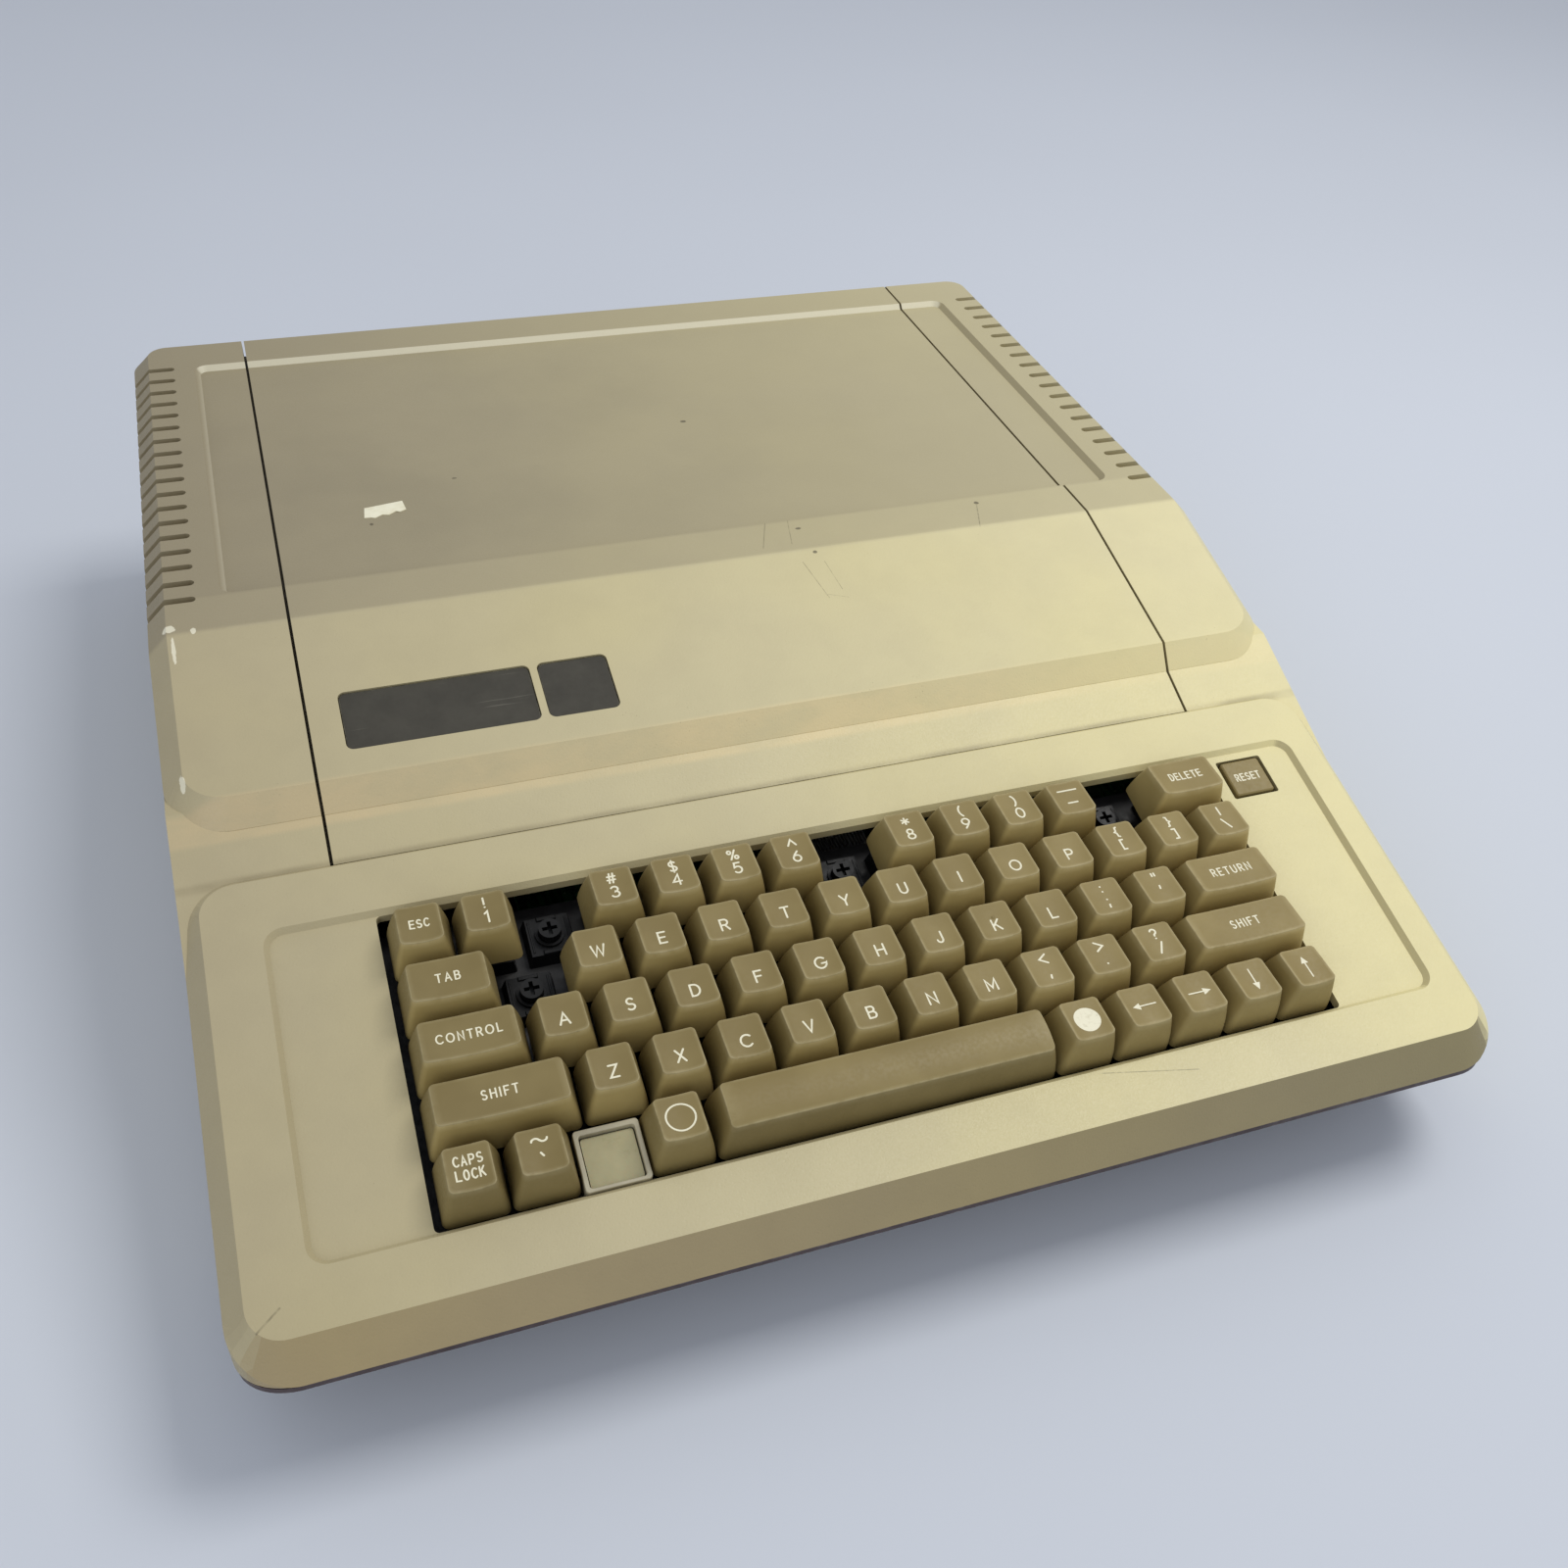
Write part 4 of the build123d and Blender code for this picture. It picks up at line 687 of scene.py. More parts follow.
def sheet_metal():
    """Plated sheet, faintly brushed along X, with dull patches."""
    look = bpy.context.scene.inside_finish
    made = Finish("plated_sheet", look.metal, 0.38, metallic=1.0)
    brushed = made.noise(420, 4, 0.6, stretch=(0.04, 1, 1))
    patches = made.noise(26, 4, 0.6, bend=0.6)
    body = made.mix(made.ramp(patches, 0.35, 0.7), look.metal, srgb(150, 150, 148))
    stained = made.ramp(made.noise(60, 5, 0.7, shift=(5, 3, 1)), 0.6, 0.78, 0.0, 0.35)
    made.paint(made.mix(stained, body, srgb(140, 126, 100)))
    made.rough(made.ramp(brushed, 0.25, 0.75, 0.28, 0.5))
    made.relief(brushed, 0.02 * MM, 0.5)
    return made


def black_steel():
    """Black-painted steel of the keyboard plate."""
    return plain_plastic("black_steel_paint", srgb(26, 25, 25), 0.45, srgb(84, 80, 72), grain=0.05)


def screw_steel():
    """Zinc-plated screws."""
    made = Finish("zinc_screws", srgb(168, 168, 160), 0.34, metallic=1.0)
    tone = made.ramp(made.noise(600, 3, 0.6), 0.35, 0.7)
    made.paint(made.mix(tone, srgb(176, 176, 168), srgb(138, 134, 118)))
    made.rough(made.ramp(made.noise(900, 2, 0.5), 0.3, 0.7, 0.26, 0.44))
    return made


def jack_nickel():
    """Bright nickel of the sockets."""
    made = Finish("nickel", srgb(196, 194, 186), 0.24, metallic=1.0)
    tone = made.ramp(made.noise(300, 4, 0.6), 0.35, 0.7)
    made.paint(made.mix(tone, srgb(204, 202, 194), srgb(158, 152, 134)))
    made.rough(made.ramp(made.noise(700, 2, 0.5), 0.3, 0.7, 0.16, 0.34))
    return made


def contact_gold():
    """Gold-plated contacts and tinned leads."""
    look = bpy.context.scene.inside_finish
    made = Finish("gold_contacts", look.gold, 0.28, metallic=1.0)
    tone = made.ramp(made.noise(900, 2, 0.5), 0.35, 0.7)
    made.paint(made.mix(tone, look.gold, srgb(186, 150, 84)))
    return made


def tinned_leads():
    """Tinned chip leads."""
    made = Finish("tinned_leads", srgb(190, 190, 188), 0.36, metallic=1.0)
    tone = made.ramp(made.noise(1200, 2, 0.5), 0.35, 0.7)
    made.paint(made.mix(tone, srgb(198, 198, 196), srgb(150, 148, 140)))
    return made


def board_mask():
    """Green solder mask over copper tracks, with tinned pads."""
    look = bpy.context.scene.inside_finish
    made = Finish("solder_mask", look.board, 0.34)
    along = made.cells(330, stretch=(1, 0.12, 1), feature="DISTANCE_TO_EDGE")
    across = made.cells(300, stretch=(0.12, 1, 1), feature="DISTANCE_TO_EDGE")
    region = made.ramp(made.noise(30, 1, 0.5), 0.47, 0.53)
    tracks = made.mix(region, made.ramp(along, 0.12, 0.2), made.ramp(across, 0.12, 0.2))
    body = made.mix(tracks, look.board, look.track)
    body = made.mix(made.ramp(made.noise(12, 4, 0.6), 0.3, 0.8, 0.0, 0.4), body, srgb(22, 64, 40))
    pads = made.both(
        made.ramp(made.cells(400), 0.16, 0.12), made.ramp(made.noise(70, 1, 0.5), 0.5, 0.56)
    )
    body = made.mix(made.math("MULTIPLY", pads, 0.75), body, srgb(176, 176, 164))
    dusty = made.ramp(made.noise(40, 5, 0.6, shift=(9, 1, 0)), 0.5, 0.85, 0.0, 0.3)
    made.paint(made.mix(dusty, body, srgb(128, 122, 104)))
    made.rough(made.ramp(made.noise(200, 3, 0.5), 0.3, 0.7, 0.26, 0.46))
    made.relief(tracks, 0.03 * MM, 0.5)
    return made


WIRE_PITCH = 0.00127


def cable_sleeve():
    """Grey ribbon insulation, ribbed across its width."""
    made = Finish("grey_ribbon", srgb(142, 144, 148), 0.46)
    turn = made.math("MULTIPLY", made.x, 2 * math.pi / WIRE_PITCH)
    ribs = made.ramp(made.math("SINE", turn), -0.9, 0.9)
    made.paint(made.mix(ribs, srgb(104, 106, 110), srgb(158, 160, 164)))
    made.relief(ribs, 0.2 * MM, 0.8)
    return made


def foot_rubber():
    """Dull black rubber."""
    look = bpy.context.scene.inside_finish
    return plain_plastic("foot_rubber", look.rubber, 0.72, srgb(80, 76, 70), grain=0.08)


def paper_cone():
    """Dark grey pulp, for the whole speaker."""
    return plain_plastic("speaker_cone", srgb(52, 50, 48), 0.8, srgb(90, 84, 74), grain=0.1)


def resistor_body():
    """Tan lacquer."""
    return plain_plastic("tan_lacquer", srgb(176, 140, 96), 0.4, srgb(110, 96, 74))


# ------------------------------------------------------------------ mesh helpers
JOIN_DISTANCE = 2e-6
FLAT_ANGLE = math.radians(0.4)
BEVEL_ANGLE = math.radians(11.5)
BEVEL_SEGMENTS = 2


def piece_from(name, vertices, faces, material, smooth_under=None, marks=None):
    """A new mesh object; faces are smooth across edges under the given angle in degrees.

    marks holds a named list of one value to a vertex, for materials that use it.
    """
    mesh = bpy.data.meshes.new(name)
    mesh.from_pydata([tuple(v) for v in vertices], [], faces)
    mesh.materials.append(material)
    mesh.update()
    for mark, values in (marks or {}).items():
        mesh.attributes.new(mark, "FLOAT", "POINT").data.foreach_set("value", values)
    if smooth_under is not None:
        mesh.shade_smooth()
        mesh.set_sharp_from_angle(angle=math.radians(smooth_under))
    made = bpy.data.objects.new(name, mesh)
    bpy.context.scene.collection.objects.link(made)
    return made


def attach(piece, body, slot, *nodes):
    """Let the piece ride on a body and stand for CAD nodes, if any; the slot is not used."""
    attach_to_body(piece, body)
    if nodes:
        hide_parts(*nodes)
    return piece


def coat(material, *nodes):
    """Give carried-over CAD nodes a material."""
    for name in nodes:
        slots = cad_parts[name].data.materials
        slots.clear()
        slots.append(material)


def joined_mesh(node):
    """A bmesh of a CAD node with its doubled vertices joined."""
    mesh = bmesh.new()
    mesh.from_mesh(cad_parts[node].data)
    bmesh.ops.remove_doubles(mesh, verts=mesh.verts, dist=JOIN_DISTANCE)
    return mesh


def softened(node, name, material, radius):
    """A copy of a CAD node's shape with rounded edges and flat faces, to stand for it."""
    shape = joined_mesh(node)
    bmesh.ops.dissolve_limit(
        shape, angle_limit=FLAT_ANGLE, verts=shape.verts, edges=shape.edges
    )
    vertices = [v.co.copy() for v in shape.verts]
    shape.verts.index_update()
    faces = [[v.index for v in f.verts] for f in shape.faces]
    shape.free()
    made = piece_from(name, vertices, faces, material)
    bevel = made.modifiers.new("soft_edges", "BEVEL")
    bevel.width = radius
    bevel.segments = BEVEL_SEGMENTS
    bevel.limit_method = "ANGLE"
    bevel.angle_limit = BEVEL_ANGLE
    bevel.miter_outer = "MITER_ARC"
    bevel.use_clamp_overlap = True
    made.data.shade_smooth()
    level = made.modifiers.new("level_faces", "WEIGHTED_NORMAL")
    level.mode = "FACE_AREA"
    level.weight = 50
    graph = bpy.context.evaluated_depsgraph_get()
    rounded = bpy.data.meshes.new_from_object(made.evaluated_get(graph))
    made.modifiers.clear()
    made.data = rounded
    return made


def islands(node):
    """The separate solids of a CAD node, each as a list of its points."""
    shape = joined_mesh(node)
    seen = set()
    found = []
    for start in shape.verts:
        if start in seen:
            continue
        seen.add(start)
        group = [start]
        for vertex in group:
            for edge in vertex.link_edges:
                other = edge.other_vert(vertex)
                if other not in seen:
                    seen.add(other)
                    group.append(other)
        found.append([v.co.copy() for v in group])
    shape.free()
    return found


def span(points):
    """Lowest and highest corner of some points."""
    low = Vector(min(p[k] for p in points) for k in range(3))
    high = Vector(max(p[k] for p in points) for k in range(3))
    return low, high


def around(radius, height, steps):
    """Points of a level circle about Z, anticlockwise from the right."""
    angles = [2 * math.pi * k / steps for k in range(steps)]
    return [Vector((radius * math.cos(a), radius * math.sin(a), height)) for a in angles]


def wall_faces(count, levels, hollow=False):
    """Faces between stacked rings of count points; with hollow, the last ring joins the first."""
    faces = []
    for level in range(levels if hollow else levels - 1):
        low, high = level * count, (level + 1) % levels * count
        for k in range(count):
            j = (k + 1) % count
            faces.append([low + k, low + j, high + j, high + k])
    return faces


def end_faces(count, levels):
    """The two faces that close a stack of rings."""
    return [list(range(count))[::-1], [count * (levels - 1) + k for k in range(count)]]


class Heap:
    """Vertices and faces of several closed forms, gathered for one piece."""

    def __init__(self):
        self.vertices = []
        self.faces = []

    def add(self, vertices, faces):
        """Add one form, its faces numbered from its own first vertex."""
        start = len(self.vertices)
        self.vertices.extend(vertices)
        self.faces.extend([[start + k for k in face] for face in faces])

    def block(self, low, high, chamfer=0.0, place=None):
        """A box with its upper edges chamfered."""
        x0, y0, z0 = low
        x1, y1, z1 = high
        c = chamfer
        rings = [((x0, y0), (x1, y1), z0), ((x0, y0), (x1, y1), z1 - c)]
        if c:
            rings.append(((x0 + c, y0 + c), (x1 - c, y1 - c), z1))
        points = []
        for (a, b), (p, q), z in rings:
            points += [(a, b, z), (p, b, z), (p, q, z), (a, q, z)]
        faces = end_faces(4, len(rings)) + wall_faces(4, len(rings))
        self.add([place @ Vector(p) for p in points] if place else points, faces)

    def turned(self, profile, steps, place, hollow=False):
        """A form turned about Z from (radius, height) points; hollow profiles close on themselves."""
        points = [place @ p for radius, height in profile for p in around(radius, height, steps)]
        ends = [] if hollow else end_faces(steps, len(profile))
        self.add(points, ends + wall_faces(steps, len(profile), hollow))

    def piece(self, name, material, smooth_under=35.0):
        """The gathered forms as one object."""
        return piece_from(name, self.vertices, self.faces, material, smooth_under)


# ------------------------------------------------------------------ keyboard deck
DECK_ANGLE = math.radians(13.0)
DECK_ORIGIN = Vector((0, -0.1046, 0.0775))
TO_ROW = Matrix.Translation(DECK_ORIGIN) @ Matrix.Rotation(DECK_ANGLE, 4, "X")
TO_DECK = TO_ROW.inverted()

KEY_PITCH = 19.05 * MM

# The caps. Heights are above the deck, and shifts are towards the rear.
CAP_SKIRT = -5.0 * MM
CAP_TOP = 10.3 * MM
CAP_TILT = math.radians(-11.0)
CAP_SHIFT = -0.475 * MM
CAP_BASE_LENGTH = 18.4 * MM
CAP_BASE_SHIFT = -0.9 * MM
CAP_WIDENED = 0.8 * MM
CAP_TOP_LENGTH = 13.8 * MM
CAP_TOP_INSET = 2.9 * MM
BASE_CORNER = 2.0 * MM
TOP_CORNER = 1.5 * MM
WALL_CURVE = 1.35
WALL_LEVELS = 7
EDGE_TURNS = (30, 60, 90)
TOP_SHARES = (0.9, 0.75, 0.55, 0.35, 0.15)
SPACE_CROWN = 22.0 * MM
RESET_TOP = -1.3 * MM
CORNER_STEPS = 5
SIDE_STEPS = 8
PLUNGER_RADIUS = 3.4 * MM

# The hollow under a cap.
CAP_WALL = 1.4 * MM
CAP_WALL_TAPER = 1.6 * MM
CAP_HOLLOW = 4.0 * MM
HOLLOW_CORNER = 1.0 * MM

# How much wear and painted highlight each ring round a cap's top gets, from the last ring of its wall
# upwards.
RIM_WEAR_AND_HIGHLIGHT = (0.5, 1.0, 1.0, 0.4)

# Painted light: the caps lighten to the right, and their front walls are lightened or darkened row by
# row as painted light and shade.
CAP_SPREAD = 150.0 * MM
CAP_PAINTED_LIGHT = 0.18
FRONT_START = 0.8
FIRST_ROW_Y = -78.0 * MM
SPACE_FRONT = -0.22
FIRST_ROW_FRONT = 0.02
INNER_ROW_FRONT = 0.70


def rounded_ring(width, depth, radius):
    """Points round a rectangle with rounded corners, anticlockwise from its right side."""
    points = []
    corners = ((1, 1, 0), (-1, 1, 90), (-1, -1, 180), (1, -1, 270))
    for number, (sx, sy, start) in enumerate(corners):
        for k in range(CORNER_STEPS + 1):
            a = math.radians(start + 90 * k / CORNER_STEPS)
            points.append(Vector((
                sx * (width / 2 - radius) + radius * math.cos(a),
                sy * (depth / 2 - radius) + radius * math.sin(a),
            )))
        nx, ny, _ = corners[(number + 1) % 4]
        a = math.radians(start + 90)
        following = Vector((
            nx * (width / 2 - radius) + radius * math.cos(a),
            ny * (depth / 2 - radius) + radius * math.sin(a),
        ))
        last = points[-1].copy()
        for k in range(1, SIDE_STEPS):
            points.append(last.lerp(following, k / SIDE_STEPS))
    return points


class CapShape:
    """The form of one key cap in its own cell: x across, y up the deck, z out of the deck."""

    def __init__(self, width, crowned=False, tone=0.0, front_painted_light=0.0):
        look = bpy.context.scene.key_finish
        self.tone = tone
        self.front_painted_light = front_painted_light
        self.width = width + CAP_WIDENED
        self.top_width = self.width - 2 * CAP_TOP_INSET
        self.crowned = crowned
        self.dish = (look.dish_back, look.dish_front)
        self.edge = look.edge_radius

    def top(self, x, y):
        """Height of the top surface."""
        offset = y - CAP_SHIFT
        if self.crowned:
            return CAP_TOP + math.sqrt(SPACE_CROWN**2 - offset**2) - SPACE_CROWN
        along = offset / CAP_TOP_LENGTH
        plane = CAP_TOP + offset * math.tan(CAP_TILT)
        across = min(1.0, abs(2 * x / self.top_width))
        deep = self.dish[0] + (self.dish[1] - self.dish[0]) * (0.5 - along)
        return plane - max(0.0, deep) * (1 - across**2)

    def wall_rings(self):
        """Rings from the skirt up to the rounding round the top."""
        base = rounded_ring(self.width, CAP_BASE_LENGTH, BASE_CORNER)
        top = rounded_ring(self.top_width, CAP_TOP_LENGTH, TOP_CORNER)
        shift = Vector((0, CAP_SHIFT))
        sunk = Vector((0, CAP_BASE_SHIFT))
        rings = []
        for k in range(WALL_LEVELS + 1):
            part = k / WALL_LEVELS
            inward = part**WALL_CURVE
            ring = []
            for b, t in zip(base, top):
                edge = t + shift
                spot = (b + sunk).lerp(edge, inward)
                lift = self.top(edge.x, edge.y) - self.edge
                ring.append((spot.x, spot.y, CAP_SKIRT + (lift - CAP_SKIRT) * part))
            rings.append(ring)
        return rings

    def top_rings(self):
        """Rings over the rounding and in to the middle of the top."""
        shift = Vector((0, CAP_SHIFT))
        rings = []
        for turn in EDGE_TURNS:
            a = math.radians(turn)
            inset = self.edge * (1 - math.cos(a))
            smaller = rounded_ring(
                self.top_width - 2 * inset, CAP_TOP_LENGTH - 2 * inset, TOP_CORNER - inset
            )
            ring = []
            for t in smaller:
                spot = t + shift
                lift = self.top(spot.x, spot.y) - self.edge * (1 - math.sin(a))
                ring.append((spot.x, spot.y, lift))
            rings.append(ring)
        outline = [Vector((p[0], p[1])) - shift for p in rings[-1]]
        for part in TOP_SHARES:
            spots = [t * part + shift for t in outline]
            rings.append([(spot.x, spot.y, self.top(spot.x, spot.y)) for spot in spots])
        return rings

    def hollow_rings(self):
        """The two rings of the hollow underneath, the deeper one first."""
        rings = []
        for inset, height in ((CAP_WALL + CAP_WALL_TAPER, CAP_HOLLOW), (CAP_WALL, CAP_SKIRT)):
            ring = rounded_ring(
                self.width - 2 * inset, CAP_BASE_LENGTH - 2 * inset, HOLLOW_CORNER
            )
            rings.append([(p.x, p.y + CAP_BASE_SHIFT, height) for p in ring])
        return rings

    def mesh(self):
        """Points, faces, and at each point the values of rim wear with painted highlight, and of
        painted light.
        """
        hollow = self.hollow_rings()
        stacked = hollow + self.wall_rings() + self.top_rings()
        count = len(stacked[0])
        points = [Vector(p) for ring in stacked for p in ring]
        faces = wall_faces(count, len(stacked))
        points.append(Vector((0, CAP_SHIFT, self.top(0, CAP_SHIFT))))
        last = (len(stacked) - 1) * count
        for k in range(count):
            faces.append([last + k, last + (k + 1) % count, len(points) - 1])
        points.append(Vector((0, CAP_BASE_SHIFT, CAP_HOLLOW)))
        for k in range(count):
            faces.append([(k + 1) % count, k, len(points) - 1])
        worn_and_lit = len(hollow) + WALL_LEVELS
        rim_wear_and_light = {worn_and_lit + k: value for k, value in enumerate(RIM_WEAR_AND_HIGHLIGHT)}
        rim = [rim_wear_and_light.get(level, 0.0) for level in range(len(stacked)) for _ in range(count)]
        base = rounded_ring(self.width, CAP_BASE_LENGTH, BASE_CORNER)
        fronts = [
            min(1.0, max(0.0, (-2 * p.y / CAP_BASE_LENGTH - FRONT_START) / (1 - FRONT_START)))
            for p in base
        ]
        tones = []
        for level in range(len(stacked)):
            on_wall = len(hollow) <= level <= worn_and_lit
            tones += [self.tone + (self.front_painted_light * part if on_wall else 0.0) for part in fronts]
        return points, faces, {"rim": rim + [0, 0], "tone": tones + [self.tone, self.tone]}


# ------------------------------------------------------------------ single-stroke lettering
def bow(x, y, rx, ry, start, end, steps=12):
    """Points of an arc, with angles in degrees, anticlockwise from the right."""
    return [
        (
            x + rx * math.cos(math.radians(start + (end - start) * k / steps)),
            y + ry * math.sin(math.radians(start + (end - start) * k / steps)),
        )
        for k in range(steps + 1)
    ]


def dot(x, y):
    """A dot as a very short stroke."""
    return [(x, y), (x + 0.02, y)]


S_CURVE = bow(0.31, 0.745, 0.28, 0.255, 35, 270, 9) + bow(0.31, 0.25, 0.31, 0.25, 90, -145, 9)

# Each glyph is its width and its strokes, with a capital one unit high.
GLYPHS = {
    "A": (0.80, [[(0, 0), (0.40, 1), (0.80, 0)], [(0.15, 0.34), (0.65, 0.34)]]),
    "B": (0.66, [[(0, 0), (0, 1), (0.36, 1)] + bow(0.36, 0.765, 0.235, 0.235, 80, -90, 6)
                 + [(0, 0.53)], [(0.36, 0.53)] + bow(0.40, 0.265, 0.26, 0.265, 80, -90, 6)
                 + [(0, 0)]]),
    "C": (0.84, [bow(0.5, 0.5, 0.5, 0.5, 45, 315)]),
    "D": (0.74, [[(0, 0), (0, 1), (0.26, 1)] + bow(0.26, 0.5, 0.48, 0.5, 85, -90) + [(0, 0)]]),
    "E": (0.60, [[(0.60, 1), (0, 1), (0, 0), (0.60, 0)], [(0, 0.52), (0.52, 0.52)]]),
    "F": (0.58, [[(0.60, 1), (0, 1), (0, 0)], [(0, 0.52), (0.50, 0.52)]]),
    "G": (0.90, [bow(0.5, 0.5, 0.5, 0.5, 45, 355) + [(0.98, 0.44), (0.56, 0.44)]]),
    "H": (0.72, [[(0, 0), (0, 1)], [(0.72, 0), (0.72, 1)], [(0, 0.52), (0.72, 0.52)]]),
    "I": (0.0, [[(0, 0), (0, 1)]]),
    "J": (0.50, [[(0.5, 1), (0.5, 0.26)] + bow(0.25, 0.26, 0.25, 0.26, -10, -180, 7)]),
    "K": (0.68, [[(0, 0), (0, 1)], [(0.62, 1), (0, 0.36)], [(0.22, 0.58), (0.68, 0)]]),
    "L": (0.56, [[(0, 1), (0, 0), (0.56, 0)]]),
    "M": (0.86, [[(0, 0), (0, 1), (0.43, 0.22), (0.86, 1), (0.86, 0)]]),
    "N": (0.72, [[(0, 0), (0, 1), (0.72, 0), (0.72, 1)]]),
    "O": (1.00, [bow(0.5, 0.5, 0.5, 0.5, 0, 360, 24)]),
    "P": (0.64, [[(0, 0), (0, 1), (0.36, 1)] + bow(0.36, 0.73, 0.28, 0.27, 80, -90, 7)
                 + [(0, 0.46)]]),
    "R": (0.66, [[(0, 0), (0, 1), (0.36, 1)] + bow(0.36, 0.74, 0.27, 0.26, 80, -90, 7)
                 + [(0, 0.48)], [(0.34, 0.48), (0.66, 0)]]),
    "S": (0.62, [S_CURVE]),
    "T": (0.70, [[(0, 1), (0.70, 1)], [(0.35, 1), (0.35, 0)]]),
    "U": (0.70, [[(0, 1), (0, 0.35)] + bow(0.35, 0.35, 0.35, 0.35, 190, 350) + [(0.70, 1)]]),
    "V": (0.76, [[(0, 1), (0.38, 0), (0.76, 1)]]),
    "W": (1.10, [[(0, 1), (0.28, 0), (0.55, 0.92), (0.82, 0), (1.10, 1)]]),
    "X": (0.70, [[(0, 0), (0.70, 1)], [(0, 1), (0.70, 0)]]),
    "Y": (0.74, [[(0, 1), (0.37, 0.46), (0.74, 1)], [(0.37, 0.46), (0.37, 0)]]),
    "Z": (0.68, [[(0, 1), (0.68, 1), (0, 0), (0.68, 0)]]),
    "0": (0.66, [bow(0.33, 0.5, 0.33, 0.5, 0, 360, 20)]),
    "1": (0.22, [[(0, 0.80), (0.22, 1), (0.22, 0)]]),
    "3": (0.60, [bow(0.29, 0.75, 0.27, 0.25, 150, -80, 8)
                 + bow(0.29, 0.27, 0.31, 0.27, 80, -150, 9)]),
    "4": (0.66, [[(0.48, 0), (0.48, 1), (0, 0.30), (0.66, 0.30)]]),
    "5": (0.60, [[(0.54, 1), (0.12, 1), (0.06, 0.56)]
                 + bow(0.29, 0.32, 0.31, 0.32, 120, -145, 10)]),
    "6": (0.62, [bow(0.31, 0.31, 0.31, 0.31, 0, 360, 16), [(0.48, 1), (0.20, 0.70), (0.02, 0.40)]]),
    "8": (0.60, [bow(0.30, 0.76, 0.24, 0.24, 0, 360, 14), bow(0.30, 0.26, 0.30, 0.26, 0, 360, 16)]),
    "9": (0.62, [bow(0.31, 0.69, 0.31, 0.31, 0, 360, 16), [(0.14, 0), (0.42, 0.30), (0.60, 0.60)]]),
    "!": (0.0, [[(0, 1), (0, 0.34)], dot(0, 0.03)]),
    "#": (0.70, [[(0.14, 0), (0.26, 1)], [(0.44, 0), (0.56, 1)], [(0, 0.32), (0.66, 0.32)],
                 [(0.04, 0.68), (0.70, 0.68)]]),
    "$": (0.62, [S_CURVE, [(0.31, -0.14), (0.31, 1.14)]]),
    "%": (0.86, [bow(0.16, 0.80, 0.16, 0.18, 0, 360, 10), bow(0.70, 0.20, 0.16, 0.18, 0, 360, 10),
                 [(0.68, 1), (0.18, 0)]]),
    "^": (0.72, [[(0, 0.30), (0.36, 0.95), (0.72, 0.30)]]),
    "*": (0.60, [[(0.30, 0.20), (0.30, 0.90)], [(0, 0.38), (0.60, 0.72)],
                 [(0, 0.72), (0.60, 0.38)]]),
    "(": (0.24, [bow(0.55, 0.5, 0.55, 0.72, 125, 235)]),
    ")": (0.24, [bow(-0.31, 0.5, 0.55, 0.72, 55, -55)]),
    "_": (1.85, [[(0, 0.5), (1.85, 0.5)]]),
    "-": (0.85, [[(0, 0.5), (0.85, 0.5)]]),
    "{": (0.34, [[(0.34, 1.05), (0.20, 1.0), (0.17, 0.62), (0, 0.5), (0.17, 0.38), (0.20, 0),
                  (0.34, -0.05)]]),
    "}": (0.34, [[(0, 1.05), (0.14, 1.0), (0.17, 0.62), (0.34, 0.5), (0.17, 0.38), (0.14, 0),
                  (0, -0.05)]]),
    "[": (0.28, [[(0.28, 1), (0, 1), (0, 0), (0.28, 0)]]),
    "]": (0.28, [[(0, 1), (0.28, 1), (0.28, 0), (0, 0)]]),
    "|": (0.0, [[(0, 1), (0, 0.1)]]),
    "\\": (0.50, [[(0, 1), (0.50, 0)]]),
    "/": (0.50, [[(0.50, 1), (0, 0)]]),
    ":": (0.02, [dot(0, 0.76), dot(0, 0.20)]),
    ";": (0.04, [dot(0.02, 0.76), [(0.04, 0.24), (0, -0.02)]]),
    '"': (0.26, [[(0, 1), (0, 0.70)], [(0.26, 1), (0.26, 0.70)]]),
    "'": (0.04, [[(0.04, 1), (0, 0.72)]]),
    "<": (0.66, [[(0.66, 0.95), (0, 0.5), (0.66, 0.05)]]),
    ">": (0.66, [[(0, 0.95), (0.66, 0.5), (0, 0.05)]]),
    ",": (0.06, [[(0.06, 0.30), (0, 0.02)]]),
    ".": (0.02, [dot(0, 0.18)]),
    "?": (0.56, [bow(0.28, 0.74, 0.26, 0.26, 160, -60, 9) + [(0.28, 0.42), (0.28, 0.30)],
                 dot(0.27, 0.03)]),
    "~": (1.20, [bow(0.30, 0.42, 0.30, 0.24, 180, 20, 7)
                 + bow(0.90, 0.58, 0.30, 0.24, 200, 360, 7)]),
    "`": (0.16, [[(0, 0.86), (0.16, 0.60)]]),
}

# Shares of a letter's height, except the stretches NARROWED and SINGLE_LETTER.
LETTER_GAP = 0.41
NARROWED = 0.72
SINGLE_LETTER = 0.90
EVEN_WIDTH = 0.44
EVEN_GAP = 0.30

# Crossing strokes stand a step apart, so that no two tops lie in one plane.
STROKE_PROUD = 0.035 * MM
STROKE_STEP = 0.004 * MM
STROKE_LEVELS = 4
STROKE_SUNK = 0.15 * MM
PATCH_PROUD = 0.04 * MM
END_TURNS = (60, 25, -25, -60)


def word_strokes(word, stretch=1.0, even=False):
    """The strokes of a word side by side, and its width, for a unit letter height.

    With even, every letter takes the same width, as on the narrow keys.
    """
    strokes = []
    pen = 0.0
    gap = EVEN_GAP if even else LETTER_GAP
    for sign in word:
        width, lines = GLYPHS[sign]
        across = EVEN_WIDTH / width if even else stretch
        strokes += [[(pen + x * across, y) for x, y in line] for line in lines]
        pen += width * across + gap
    return strokes, pen - gap


